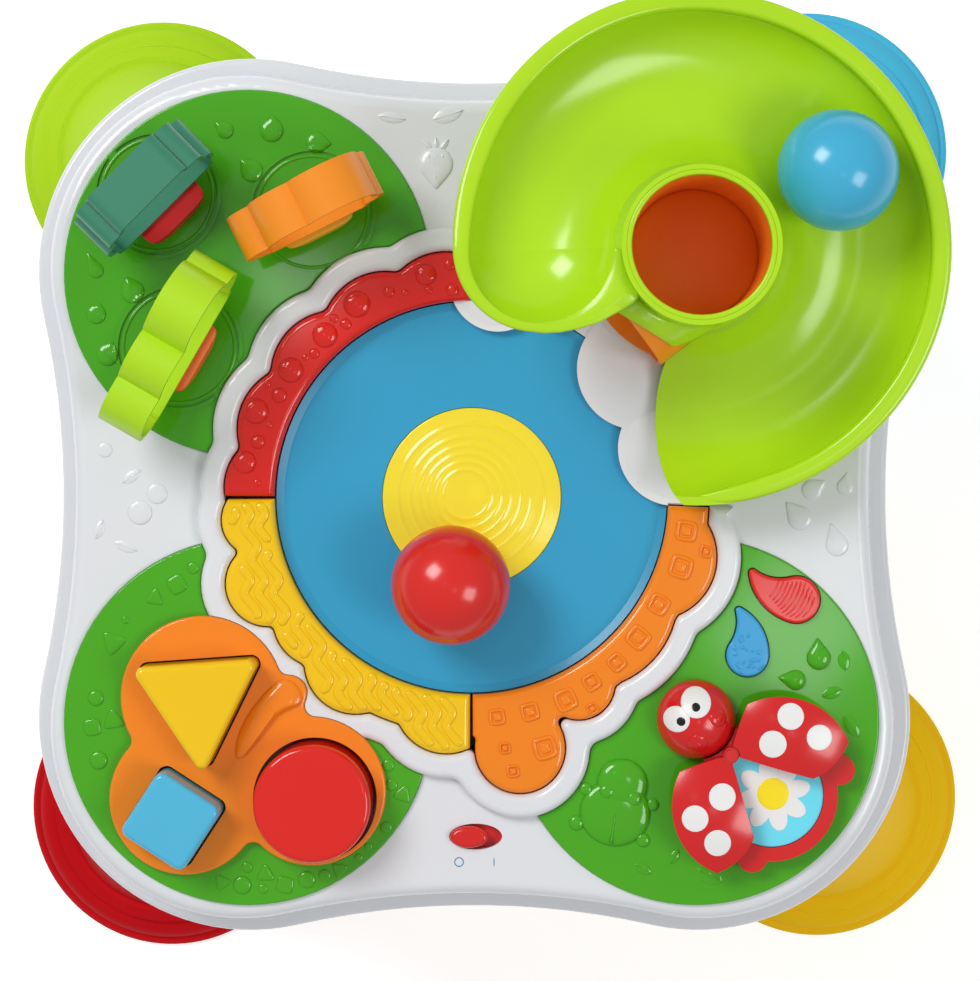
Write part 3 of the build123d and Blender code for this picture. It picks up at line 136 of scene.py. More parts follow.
class Stock:
    """A new material with its shader, and the noise in object coordinates that it is made with."""

    def __init__(self, name: str) -> None:
        """Start the material and find its shader.

        Args:
            name: Name of the material.
        """
        self.material = bpy.data.materials.new(name)
        self.material.use_nodes = True
        self.tree = self.material.node_tree
        self.shader = self.tree.nodes["Principled BSDF"]
        self.place = node(self.tree, "ShaderNodeTexCoord").outputs["Object"]

    def noise(self, scale: float, detail: float) -> bpy.types.NodeSocket:
        """Add noise and give the socket of its value."""
        inputs = {"Vector": self.place, "Scale": scale, "Detail": detail}
        return node(self.tree, "ShaderNodeTexNoise", inputs=inputs).outputs["Fac"]

    def relief(self, scale: float, strength: float, depth: float) -> None:
        """Let fine noise, with a depth in metres, stand out from the surface."""
        inputs = {"Height": self.noise(scale, 1.0), "Strength": strength, "Distance": depth}
        self.feed("Normal", node(self.tree, "ShaderNodeBump", inputs=inputs).outputs["Normal"])

    def feed(self, key: str, socket: bpy.types.NodeSocket) -> None:
        """Link a socket to an input of the shader."""
        self.tree.links.new(socket, self.shader.inputs[key])

    def set(self, **values: object) -> bpy.types.Material:
        """Set inputs of the shader, with underscores for the spaces of their names.

        Args:
            values: Input name to its constant.

        Returns:
            The material.
        """
        for key, value in values.items():
            self.shader.inputs[key.replace("_", " ")].default_value = value
        return self.material


class Surface(Enum):
    """How a mould's surface was finished, which sets the plastic's gloss and grain."""

    BRIGHT = (0.09, 0.05)
    POLISHED = (0.19, 0.10)
    SATIN = (0.34, 0.25)
    TEXTURED = (0.52, 0.60)

    @property
    def roughness(self) -> float:
        """Give the roughness that the mould's finish leaves."""
        return self.value[0]

    @property
    def grain(self) -> float:
        """Give the strength of the fine grain that the mould's finish leaves."""
        return self.value[1]


@dataclass(frozen=True)
class MouldedPlastic:
    """An injection-moulded plastic: even colour with faint flow tones and a fine mould grain.

    Attributes:
        name: Material name, after the plastic and where it is used.
        colour: Base colour as sRGB hex.
        surface: The mould's finish.
        ior: Index of refraction: about 1.49 for PP, 1.53 for ABS, 1.58 for PC.
        tone: How far the flow tones lighten and darken the colour.
        shine: Specular level; under 0.5 where steep walls would only mirror the pale floor.
    """

    name: str
    colour: str
    surface: Surface = Surface.POLISHED
    ior: float = 1.49
    tone: float = 0.03
    shine: float = 0.5

    def build(self) -> bpy.types.Material:
        """Make the material: large noise for tone, fine noise for grain.

        Returns:
            The node-based material.
        """
        stock = Stock(self.name)
        base = linear(self.colour)
        dark = tuple(c * (1 - self.tone) for c in base[:3]) + (1.0,)
        light = tuple(min(1.0, c * (1 + self.tone)) for c in base[:3]) + (1.0,)
        inputs = {"Factor": stock.noise(FLOW_SCALE, 2.0), "A": dark, "B": light}
        tones = node(stock.tree, "ShaderNodeMix", {"data_type": "RGBA"}, inputs)
        stock.feed("Base Color", tones.outputs[2])
        stock.relief(GRAIN_SCALE, self.surface.grain, GRAIN_DEPTH)
        return stock.set(Roughness=self.surface.roughness, IOR=self.ior, Specular_IOR_Level=self.shine)


@dataclass(frozen=True)
class ClearPlastic:
    """A tinted see-through polycarbonate.

    Attributes:
        name: Material name.
        colour: Tint as sRGB hex.
        clearness: Share of light that passes.
        glow: Emission strength in the tint. On the lens it is a painted glow that brightens the wall in
            place of light falling on it; on the LED it is the LED's light.
    """

    name: str
    colour: str
    clearness: float
    glow: float

    def build(self) -> bpy.types.Material:
        """Make the material: a transmitting shader with faint ripples from the mould, and an emission in
        its tint that on the lens is a painted glow.

        Returns:
            The node-based material.
        """
        stock = Stock(self.name)
        stock.relief(RIPPLE_SCALE, 0.15, RIPPLE_DEPTH)
        tint = linear(self.colour)
        # The emission glows in the tint; on the lens this is a painted glow that stands in for light,
        # not a lamp inside.
        return stock.set(Base_Color=tint, Roughness=0.12, IOR=1.58, Transmission_Weight=self.clearness,
                         Emission_Color=tint, Emission_Strength=self.glow)


@dataclass(frozen=True)
class Metal:
    """Bright steel or nickel plate with fine turning or drawing lines.

    Attributes:
        name: Material name.
        colour: Base colour as sRGB hex.
        roughness: Surface roughness.
    """

    name: str
    colour: str
    roughness: float

    def build(self) -> bpy.types.Material:
        """Make the material: full metallic with fine noise in its roughness.

        Returns:
            The node-based material.
        """
        stock = Stock(self.name)
        inputs = {"Value": stock.noise(TURNING_SCALE, 2.0), "To Min": self.roughness * 0.8,
                  "To Max": self.roughness * 1.3}
        span = node(stock.tree, "ShaderNodeMapRange", inputs=inputs)
        stock.feed("Roughness", span.outputs["Result"])
        return stock.set(Base_Color=linear(self.colour), Metallic=1.0)


BRIGHT, POLISHED, SATIN, TEXTURED = Surface
PLASTICS = {  # the fields of MouldedPlastic, in order
    "casing": ("ABS_white_polished", "#E2E4E8", POLISHED, 1.53, 0.015),
    "base": ("ABS_white_satin", "#DCDEE2", SATIN, 1.53, 0.02),
    "cloud": ("ABS_cloud_white", "#E6E8EC", POLISHED, 1.53, 0.01),
    "panel": ("PP_leaf_green", "#4AAA18", BRIGHT),
    "tray": ("PP_tray_blue", "#2F9FCC", SATIN),
    "lime": ("PP_slide_lime", "#B2E01C"),
    "orange": ("PP_orange", "#F6871A", BRIGHT),
    "tower": ("PP_tower_orange", "#FA9022", SATIN, 1.49, 0.03, 0.3),
    "red": ("PP_signal_red", "#E0241C", BRIGHT),
    "yellow": ("PP_sun_yellow", "#F5C712", BRIGHT),
    "sky": ("PP_sky_blue", "#52B8DC"),
    "ball_red": ("PE_ball_red", "#DC2620", POLISHED, 1.51),
    "ball_blue": ("PE_ball_blue", "#42B0D8", POLISHED, 1.51),
    "teal": ("PP_teal", "#3A8468", SATIN),
    "loop_orange": ("PP_loop_orange", "#F5901F", SATIN),
    "loop_lime": ("PP_loop_lime", "#B2E01C", SATIN),
    "hub_red": ("PP_hub_red", "#BE0C0A", SATIN),
    "hub_yellow": ("PP_hub_yellow", "#E8A808", SATIN),
    "hub_orange": ("PP_hub_orange", "#E2641A", SATIN),
    "bug": ("ABS_ladybird_red", "#D61D1E", POLISHED, 1.53),
    "spot": ("Printed_white", "#EDEDEC", SATIN, 1.5),
    "heart": ("Printed_yellow", "#FFE40C", SATIN, 1.5),
    "pupil": ("Printed_black", "#161616", POLISHED, 1.5),
    "picture": ("Printed_cyan", "#6FE0F5", POLISHED, 1.5),
    "button_blue": ("PP_button_blue", "#3AA2DA"),
    "leg_lime": ("PP_leg_lime", "#B8E22A", SATIN, 1.49, 0.03, 0.03),
    "leg_blue": ("PP_leg_blue", "#4FBCE0", SATIN, 1.49, 0.03, 0.03),
    "leg_red": ("PP_leg_red", "#C8141C", SATIN, 1.49, 0.03, 0.03),
    "leg_yellow": ("PP_leg_yellow", "#FFCC1A", SATIN, 1.49, 0.03, 0.03),
    "switch": ("ABS_switch_red", "#D8201C", POLISHED, 1.53),
    "reflector": ("ABS_reflector_white", "#E8E8E4", SATIN, 1.53),
    "rubber": ("Silicone_rubber_grey", "#4A4A4A", TEXTURED, 1.41),
    "board": ("Board_solder_mask", "#1F6B3A", SATIN, 1.5),
    "speaker": ("Speaker_cone_black", "#26282B", TEXTURED, 1.5),
    "mark": ("Pad_printed_blue", "#4C87B8", SATIN, 1.5),
}
FINISHES = {
    **{key: MouldedPlastic(*row) for key, row in PLASTICS.items()},
    # The lens's emission is a painted glow that brightens its yellow; the LED's emission is its light.
    "lens": ClearPlastic("PC_lens_yellow", "#F0DC30", 0.2, 0.16),
    "led": ClearPlastic("Epoxy_clear", "#F6F2DC", 0.8, 1.0),
    "battery": Metal("Battery_can", "#6B6E72", 0.4),
    "nickel": Metal("Nickel_plate", "#C8CACC", 0.2),
    "steel": Metal("Bright_steel", "#B8BABD", 0.25),
}
FINISH_NODES = {
    "casing": "top_casing", "base": "bottom_casing battery_door", "cloud": "cloud_cover",
    "leg_lime": "leg_lime", "leg_blue": "leg_blue", "leg_red": "leg_red", "leg_yellow": "leg_yellow",
    "panel": "spinner_panel sorter_panel ladybird_panel", "tray": "ball_tray",
    "lens": "lamp_lens", "reflector": "lamp_reflector", "led": "lamp_led",
    "red": "red_key cylinder_block red_button", "yellow": "yellow_key triangle_block",
    "orange": "orange_key sorter_plate", "sky": "square_block", "button_blue": "blue_button",
    "rubber": "red_key_pads yellow_key_pads orange_key_pads red_button_pad blue_button_pad",
    "tower": "tower_chute", "lime": "slide", "ball_red": "red_ball", "ball_blue": "blue_ball",
    "teal": "teal_spinner", "loop_orange": "orange_spinner", "loop_lime": "lime_spinner",
    "hub_red": "red_hub", "hub_yellow": "yellow_hub", "hub_orange": "orange_hub",
    "bug": "ladybird_body ladybird_head upper_wing lower_wing wing_pin",
    "spot": "ladybird_eyes", "picture": "picture_disc", "switch": "switch_knob",
    "board": "circuit_board", "speaker": "speaker", "battery": "batteries", "nickel": "battery_contacts",
    "steel": "spinner_axles door_screw casing_screws",
}


# ---------------------------------------------------------------- surfaces
@dataclass
class Form:
    """A closed surface.

    Attributes:
        points: Points in millimetres, shape (n, 3).
        faces: Point numbers of quads, shape (m, 4); a triangle repeats one of its numbers.
    """

    points: np.ndarray
    faces: np.ndarray

    @staticmethod
    def skin(rings: Sequence[np.ndarray], loop: bool = False) -> "Form":
        """Join rings of points into one closed surface that faces outward.

        Each point joins the next one of its ring and the same two of the next ring. A run that is not a
        loop ends in one pole at each end, the mean of the end ring. Where the enclosed volume comes out
        negative, every face is turned round.

        Args:
            rings: Rings of as many points each, in millimetres, shape (rings, points, 3).
            loop: Whether the last ring joins the first one.

        Returns:
            The surface.
        """
        rings = np.asarray(rings)
        rows, cols, _ = rings.shape
        row = np.arange(rows if loop else rows - 1)[:, None]
        col = np.arange(cols)[None, :]
        here, ahead, side = row * cols, (row + 1) % rows * cols, (col + 1) % cols
        faces = np.stack([here + col, here + side, ahead + side, ahead + col], axis=-1).reshape(-1, 4)
        points = rings.reshape(-1, 3)
        if not loop:
            col, side, last, pole = col[0], side[0], (rows - 1) * cols, rows * cols
            first_cap = np.stack([np.full(cols, pole), side, col, col], axis=-1)
            last_cap = np.stack([np.full(cols, pole + 1), last + col, last + side, last + side], axis=-1)
            faces = np.concatenate([faces, first_cap, last_cap])
            points = np.concatenate([points, rings[:1].mean(axis=1), rings[-1:].mean(axis=1)])
        a, b, c, d = (points[faces[:, i]] for i in range(4))
        volume = np.sum(a * np.cross(b, c)) + np.sum(a * np.cross(c, d))
        return Form(points, faces if volume > 0 else faces[:, ::-1])


class Ground:
    """What a raised ornament stands on: a level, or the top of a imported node."""

    def __init__(self, level: float, node_name: str = "") -> None:
        """Get ready to look for the ground.

        Args:
            level: Level in millimetres.
            node_name: Node that lies on the level, if any.
        """
        self.level = level
        self.tree = None
        if node_name:
            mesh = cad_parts[node_name].data
            points, faces = [v.co for v in mesh.vertices], [p.vertices for p in mesh.polygons]
            self.tree = BVHTree.FromPolygons(points, faces)

    def under(self, plan: np.ndarray) -> np.ndarray:
        """Give the height of the ground at plan points.

        Args:
            plan: Plan points in millimetres, shape (n, 2).

        Returns:
            Heights in millimetres; a point beside the node takes the level.
        """
        if self.tree is None:
            return np.full(len(plan), self.level)
        above = CAD_BOX[1][2] + 1.0
        hits = [self.tree.ray_cast((x * MM, y * MM, above), (0, 0, -1))[0] for x, y in plan]
        return np.array([self.level if hit is None else hit.z / MM for hit in hits])


def heights(node_name: str) -> Point2:
    """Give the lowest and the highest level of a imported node, in millimetres."""
    low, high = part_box(node_name)
    return low[2] / MM, high[2] / MM


def full_turn(count: int) -> np.ndarray:
    """Give evenly spaced angles of a full turn, in radians."""
    return np.linspace(0, 2 * math.pi, count, endpoint=False)


def unit(angles: np.ndarray) -> np.ndarray:
    """Give the points of the unit circle at angles in radians."""
    return np.column_stack([np.cos(angles), np.sin(angles)])


def squircle(angles: np.ndarray, power: float) -> np.ndarray:
    """Give the points of the rounded square |x|^power + |y|^power = 1 at angles in radians."""
    points = unit(angles)
    return points * (np.sum(np.abs(points) ** power, axis=1) ** (-1 / power))[:, None]


def disc(radius: float, count: int = 40) -> np.ndarray:
    """Give a circle's points, anticlockwise."""
    return radius * unit(full_turn(count))


def drop(bulb: float, tip: float, count: int = 64) -> np.ndarray:
    """Give a droplet's points, its tip along +X.

    The radius is bulb / cos(max(lean - a, 0)) at an angle a from the tip, with lean = acos(bulb / tip),
    so two straight flanks touch the round bulb.

    Args:
        bulb: Radius of the bulb in millimetres.
        tip: Distance of the tip from the bulb's middle.
        count: Number of points.

    Returns:
        Plan points, shape (count, 2).
    """
    turn = np.linspace(-math.pi, math.pi, count, endpoint=False)
    lean = math.acos(min(bulb / tip, 0.98))
    radius = bulb / np.cos(np.maximum(lean - np.abs(turn), 0))
    return unit(turn) * np.minimum(radius, tip * 0.96)[:, None]


def leaf(length: float, width: float, count: int = 48) -> np.ndarray:
    """Give a leaf's points, pointed at both ends: the half width is width / 2 * |sin a|^1.5."""
    along, across = unit(full_turn(count)).T
    return np.column_stack([along * length / 2, np.sign(across) * np.abs(across) ** 1.5 * width / 2])


def tile(side: float, sides: int = 4, corner: float = 0.16, count: int = 72) -> np.ndarray:
    """Give a regular polygon's points with soft corners.

    The radius is inner / cos(b), b the angle from the nearest side's middle, and the corners are drawn
    in by a smooth cap: (radius^-8 + cap^-8)^(-1/8).

    Args:
        side: Length of a side in millimetres.
        sides: Number of sides.
        corner: How far the corners draw in, as a share of the corner's radius.
        count: Number of points.

    Returns:
        Plan points, shape (count, 2).
    """
    inner = side / 2 / math.tan(math.pi / sides)
    turn = full_turn(count)
    wedge = 2 * math.pi / sides
    radius = inner / np.cos(((turn + wedge / 2) % wedge) - wedge / 2)
    cap = inner / math.cos(wedge / 2) * (1 - corner)
    return unit(turn) * ((radius ** -8 + cap ** -8.0) ** (-1 / 8))[:, None]


def rounded(corners: np.ndarray, cuts: int = 3) -> np.ndarray:
    """Round a closed outline by cutting its corners again and again.

    Args:
        corners: Plan points in order, shape (n, 2).
        cuts: Rounds of cutting; each puts points at a quarter and three quarters of every side.

    Returns:
        Plan points, shape (n * 2^cuts, 2).
    """
    for _ in range(cuts):
        following = np.roll(corners, -1, axis=0)
        pairs = [0.75 * corners + 0.25 * following, 0.25 * corners + 0.75 * following]
        corners = np.stack(pairs, axis=1).reshape(-1, 2)
    return corners


def placed(outline: np.ndarray, x: float, y: float, heading: float = 0.0) -> np.ndarray:
    """Turn an outline anticlockwise by a heading in degrees and move it to a plan point."""
    c, s = math.cos(math.radians(heading)), math.sin(math.radians(heading))
    return outline @ np.array([[c, s], [-s, c]]) + np.array([x, y])


def at_level(plan: np.ndarray, level: float) -> np.ndarray:
    """Give plan points a common height."""
    return np.column_stack([plan, np.full(len(plan), level)])


def pillow(outline: np.ndarray, ground: Ground, height: float, edge: float = 2.0, sink: float = 0.4,
           middle: Optional[Point2] = None) -> Form:
    """Raise a cushion from an outline.

    Rings shrink from the outline to its middle. A ring of relative size s rises by
    height * (1 - s^edge)^(1/edge): 2 gives a round dome, more gives a flatter top with a rounder edge.
    The outline also goes down by the sink, so the cushion closes inside what carries it.

    Args:
        outline: Plan points in millimetres in order, shape (n, 2).
        ground: What it stands on.
        height: Rise of its middle, in millimetres.
        edge: Fullness of its profile.
        sink: How far it reaches into the ground.
        middle: Plan point that the rings shrink to, or None for the mean of the outline.

    Returns:
        The closed cushion.
    """
    centre = outline.mean(axis=0) if middle is None else np.array(middle)
    rings = []
    for size in np.sin(np.linspace(0.12, 1.0, 8) * math.pi / 2):
        plan = centre + (outline - centre) * size
        rise = height * (1 - min(size, 1.0) ** edge) ** (1 / edge)
        rings.append(np.column_stack([plan, ground.under(plan) + rise]))
    rings.append(rings[-1] - np.array([0.0, 0.0, sink]))
    return Form.skin(rings)


def button(x: float, y: float, radius: float, ground: Ground, height: float, edge: float = 2.0,
           sink: float = 0.4, count: int = 40) -> Form:
    """Raise a round cushion: a pillow over a disc, with the plan place and radius in millimetres."""
    return pillow(placed(disc(radius, count), x, y), ground, height, edge, sink)


def ribbon(path: np.ndarray, width: float, height: float, ground: Ground, loop: bool = False,
           sink: float = 0.3) -> Form:
    """Sweep a half-round rib along a path in plan.

    The profile is half an ellipse: across cos(a) * width / 2, up sin(a) * height, closed below the
    ground. An open rib shrinks over its last two stations into a rounded end.

    Args:
        path: Plan points in millimetres, shape (n, 2).
        width: Width of the rib, in millimetres.
        height: Rise of the rib, in millimetres.
        ground: What it stands on.
        loop: Whether the path closes on itself.
        sink: How far it reaches into the ground.

    Returns:
        The closed rib.
    """
    if loop:
        ahead = np.roll(path, -1, axis=0) - np.roll(path, 1, axis=0)
    else:
        ahead = np.gradient(path, axis=0)
    ahead /= np.linalg.norm(ahead, axis=1, keepdims=True)
    across = np.column_stack([-ahead[:, 1], ahead[:, 0]])
    swell = np.ones(len(path))
    if not loop:
        swell[[0, -1]] = 0.25
        swell[[1, -2]] = 0.8
    angle = np.linspace(0, math.pi, 9)
    offset = np.concatenate([np.cos(angle), [-1.0, 1.0]]) * width / 2
    rise = np.concatenate([np.sin(angle) * height, [-sink, -sink]])
    plan = path[:, None, :] + across[:, None, :] * (offset[None, :, None] * swell[:, None, None])
    level = ground.under(plan.reshape(-1, 2)).reshape(plan.shape[:2])
    return Form.skin(np.dstack([plan, level + rise[None, :] * swell[:, None]]), loop)


def droplets(spots: Sequence[Drop], ground: Ground, height: float) -> List[Form]:
    """Raise droplets that each lean towards their tip.

    Args:
        spots: The droplets.
        ground: What they stand on.
        height: Rise as a share of the bulb's radius.

    Returns:
        One closed form for each.
    """
    forms = []
    for x, y, bulb, tip_x, tip_y in spots:
        reach = math.hypot(tip_x - x, tip_y - y)
        heading = math.degrees(math.atan2(tip_y - y, tip_x - x))
        outline = placed(drop(bulb, max(reach, bulb * 1.2)), x, y, heading)
        forms.append(pillow(outline, ground, bulb * height, 2.2, middle=(x, y)))
    return forms


def leaves(spots: Sequence[Blade], ground: Ground, height: float) -> List[Form]:
    """Raise leaves with a rib along the middle.

    Args:
        spots: The leaves.
        ground: What they stand on.
        height: Rise in millimetres.

    Returns:
        Two closed forms for each: the blade and its rib.
    """
    forms = []
    for x, y, length, width, heading in spots:
        forms.append(pillow(placed(leaf(length, width), x, y, heading), ground, height, 1.6))
        spine = np.column_stack([np.linspace(-0.46, 0.5, 14) * length, np.zeros(14)])
        lifted = Ground(float(ground.under(np.array([[x, y]]))[0]) + height * 0.55)
        path = placed(spine, x, y, heading)
        forms.append(ribbon(path, width * 0.12, height * 0.6, lifted, sink=height * 0.5))
    return forms


# ---------------------------------------------------------------- sub-assemblies
def dress_nodes(materials: Dict[str, bpy.types.Material]) -> None:
    """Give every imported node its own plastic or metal.

    Args:
        materials: The material of every finish.
    """
    for finish, names in FINISH_NODES.items():
        for name in names.split():
            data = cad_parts[name].data
            data.materials.clear()
            data.materials.append(materials[finish])


@dataclass
class Assembly:
    """A sub-assembly: its sizes are fields, and its pieces take these materials."""

    materials: Dict[str, bpy.types.Material]

    def add(self, name: str, forms: Sequence[Form], finish: str, slot: str,
            body: str = "table") -> bpy.types.Object:
        """Make one mesh object from closed forms and let it ride on a body.

        Args:
            name: Name of the piece.
            forms: The closed surfaces that it gathers.
            finish: Key of the finish.
            slot: Name of a material slot; not used.
            body: Body that the piece rides on.

        Returns:
            The new object.
        """
        starts = np.cumsum([0] + [len(form.points) for form in forms[:-1]])
        points = np.concatenate([form.points for form in forms])
        faces = np.concatenate([form.faces + start for form, start in zip(forms, starts)])
        mesh = bpy.data.meshes.new(name)
        corners = [tuple(dict.fromkeys(row)) for row in faces.tolist()]
        mesh.from_pydata((points * MM).tolist(), [], corners)
        mesh.polygons.foreach_set("use_smooth", np.full(len(mesh.polygons), True))
        mesh.materials.append(self.materials[finish])
        mesh.update()
        made = bpy.data.objects.new(name, mesh)
        bpy.context.scene.collection.objects.link(made)
        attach(made, body)
        LOG.info("piece %s: %d forms, %d faces, on %s", name, len(forms), len(mesh.polygons), body)
        return made


@dataclass
class SpinnerCorner(Assembly):
    """Raised droplets and rings on the green spinner panel, and the stands of the loops.

    A stand is its node, its loop, the plan x and y of its pivot, the heading of its long side and its
    half width. A section of a stand is a share of its height and how far it draws in.
    """

    drops: Tuple[Drop, ...] = (
        (-130.0, 194.0, 4.4, -135.9, 198.5), (-105.5, 194.0, 6.2, -104.7, 202.2),
        (-81.8, 187.4, 5.6, -73.6, 186.9), (-115.9, 172.5, 5.9, -122.3, 179.2),
        (-198.2, 119.9, 4.0, -203.4, 130.3), (-178.9, 108.8, 6.2, -182.6, 117.0),
        (-198.2, 96.9, 5.2, -196.0, 102.1), (-192.2, 75.5, 5.9, -189.3, 82.7),
    )
    stands: Tuple[Tuple[str, str, float, float, float, float], ...] = (
        ("red_hub", "teal", -166.0, 160.0, 45.0, 22.0),
        ("yellow_hub", "orange", -84.0, 151.0, 26.6, 15.0),
        ("orange_hub", "lime", -154.5, 79.5, 60.0, 16.5),
    )
    sections: Tuple[Point2, ...] = (
        (0.0, 2.0), (0.02, 0.4), (0.3, 0.0), (0.6, 0.0), (0.94, 0.0), (0.98, 0.3), (1.0, 1.2),
    )
    ring_mm: float = 29.5
    stand_low: float = 11.0
    stand_high: float = 20.4
    foot_rise: float = 2.6

    def build(self) -> None:
        """Raise the droplets, ring each stand and widen the stands upward from a round foot.

        Each level of a stand is a rounded rectangle |x / half length|^8 + |y / half width|^8 = 1, whose
        half length grows evenly with the height.
        """
        ground = Ground(PANEL_TOP, "spinner_panel")
        forms = droplets(self.drops, ground, 0.3)
        square = squircle(full_turn(64), 8)
        for node_name, loop, x, y, heading, half_width in self.stands:
            forms.append(ribbon(placed(disc(self.ring_mm, 96), x, y), 2.0, 0.5, ground, loop=True))
            low, high = heights(node_name)
            rings = []
            for share, inset in self.sections:
                half = self.stand_low + (self.stand_high - self.stand_low) * share
                plan = placed(square * (half - inset, half_width - inset), x, y, heading)
                level = low + self.foot_rise + (high - low - self.foot_rise) * share
                rings.append(at_level(plan, level))
            foot = button(x, y, self.stand_low + 3.0, Ground(low + 0.5), self.foot_rise, 6.0, 0.5, 56)
            finish = f"hub_{node_name.split('_')[0]}"
            stand = [Form.skin(rings), foot]
            piece = self.add(f"{node_name}_stand", stand, finish, finish, f"{loop}_spinner_body")
            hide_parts(node_name)
        self.add("spinner_panel_reliefs", forms, "panel", "panel_green")


@dataclass
class SorterCorner(Assembly):
    """Raised shapes on the green sorter panel, and the ridge of the orange plate."""

    discs: Tuple[Spot, ...] = (
        (-147.0, -37.2, 3.2), (-182.9, -64.7, 2.1), (-198.4, -105.9, 4.2), (-197.0, -138.8, 4.8),
        (-43.8, -141.5, 3.2), (-42.1, -151.8, 3.2), (-45.0, -174.3, 3.2), (-54.4, -184.4, 2.1),
        (-59.7, -190.2, 2.1), (-121.0, -204.7, 4.8), (-118.4, -195.3, 2.9), (-110.1, -206.9, 2.5),
        (-86.9, -201.8, 4.6), (-77.5, -199.6, 3.2),
    )
    squares: Tuple[Turned, ...] = (
        (-155.5, -45.9, 8.5, 30.0), (-200.2, -121.4, 7.9, 8.0), (-98.5, -204.7, 7.9, -12.0),
    )
    triangles: Tuple[Turned, ...] = (
        (-167.3, -53.0, 9.0, 20.0), (-189.0, -76.5, 12.0, 75.0), (-189.0, -117.8, 10.5, 40.0),
        (-36.2, -156.9, 9.0, 10.0), (-131.8, -203.3, 8.0, 65.0), (-108.7, -198.9, 9.0, 30.0),
        (-69.6, -196.7, 8.0, 80.0),
    )
    ridge: Tuple[Point2, ...] = (
        (-98.3, -95.1), (-94.5, -96.1), (-90.3, -99.7), (-88.4, -104.8), (-89.3, -108.4),
        (-94.5, -110.4), (-101.5, -114.0), (-108.2, -120.3), (-114.9, -129.3), (-119.8, -137.4),
        (-124.2, -137.4), (-124.0, -129.3), (-120.9, -120.3), (-115.5, -110.8), (-108.2, -102.2),
        (-102.2, -96.6),
    )
    ridge_middle: Point2 = (-100.5, -109.5)
    ridge_rise: float = 3.2

    def build(self) -> None:
        """Raise the shapes, and the plate's ridge that runs from its small lobe towards its middle."""
        ground = Ground(PANEL_TOP, "sorter_panel")
        forms = [button(x, y, r, ground, r * 0.3, 2.5) for x, y, r in self.discs]
        forms += [pillow(placed(tile(side * 1.15), x, y, turn), ground, 0.9, 3.0)
                  for x, y, side, turn in self.squares]
        forms += [pillow(placed(tile(side * 1.3, 3, 0.2), x, y, turn), ground, 0.9, 2.6)
                  for x, y, side, turn in self.triangles]
        self.add("sorter_panel_reliefs", forms, "panel", "panel_green")
        plate = Ground(PANEL_TOP + PLATE_RISE, "sorter_plate")
        outline = rounded(np.array(self.ridge))
        ridge = pillow(outline, plate, self.ridge_rise, 2.0, sink=0.6, middle=self.ridge_middle)
        self.add("sorter_plate_ridge", [ridge], "orange", "plate_orange")


@dataclass
class BugCorner(Assembly):
    """Raised droplets, leaves and a small beetle on the green ladybird panel."""

    drops: Tuple[Drop, ...] = ((183.5, -84.7, 6.4, 182.9, -73.6), (171.3, -96.4, 5.4, 161.4, -95.0))
    blades: Tuple[Blade, ...] = (
        (196.8, -86.1, 11.0, 6.5, 100.0), (190.5, -103.2, 11.0, 6.5, 20.0),
        (200.7, -120.6, 14.0, 7.0, -55.0), (90.7, -196.2, 10.0, 6.0, -30.0),
        (125.9, -199.9, 15.0, 9.0, -25.0), (107.3, -189.8, 9.0, 5.0, 60.0),
    )
    body: Spot = (75.9, -166.6, 18.6)
    head: Spot = (79.8, -151.3, 13.4)
    feet: Tuple[Spot, ...] = (
        (60.6, -153.9, 3.4), (55.5, -171.9, 4.0), (95.8, -162.3, 3.4), (90.7, -180.9, 3.8),
    )
    eyes: Tuple[Spot, ...] = ((71.6, -155.0, 3.9), (85.8, -158.8, 3.9))
    seam: Tuple[float, float, float] = (-16.0, 1.0, -8.0)  # start, end and heading

    def build(self) -> None:
        """Raise the droplets, the leaves and the beetle."""
        ground = Ground(PANEL_TOP, "ladybird_panel")
        x, y, radius = self.body
        forms = droplets(self.drops, ground, 0.5) + leaves(self.blades, ground, 0.8)
        forms.append(button(*self.head, ground, 4.2, 2.4, count=56))
        forms.append(pillow(placed(disc(radius, 72) * (1.0, 0.94), x, y), ground, 3.6, 2.6))
        for raised, spots in ((ground, self.feet), (Ground(PANEL_TOP + 2.6), self.eyes)):
            forms += [button(*spot, raised, spot[2] * 0.45, sink=2.0) for spot in spots]
        start, end, heading = self.seam
        seam = placed(np.column_stack([np.full(18, 0.0), np.linspace(start, end, 18)]), x, y, heading)
        forms.append(ribbon(seam, 1.0, 0.8, Ground(PANEL_TOP + 3.2), sink=2.0))
        self.add("ladybird_panel_reliefs", forms, "panel", "panel_green")


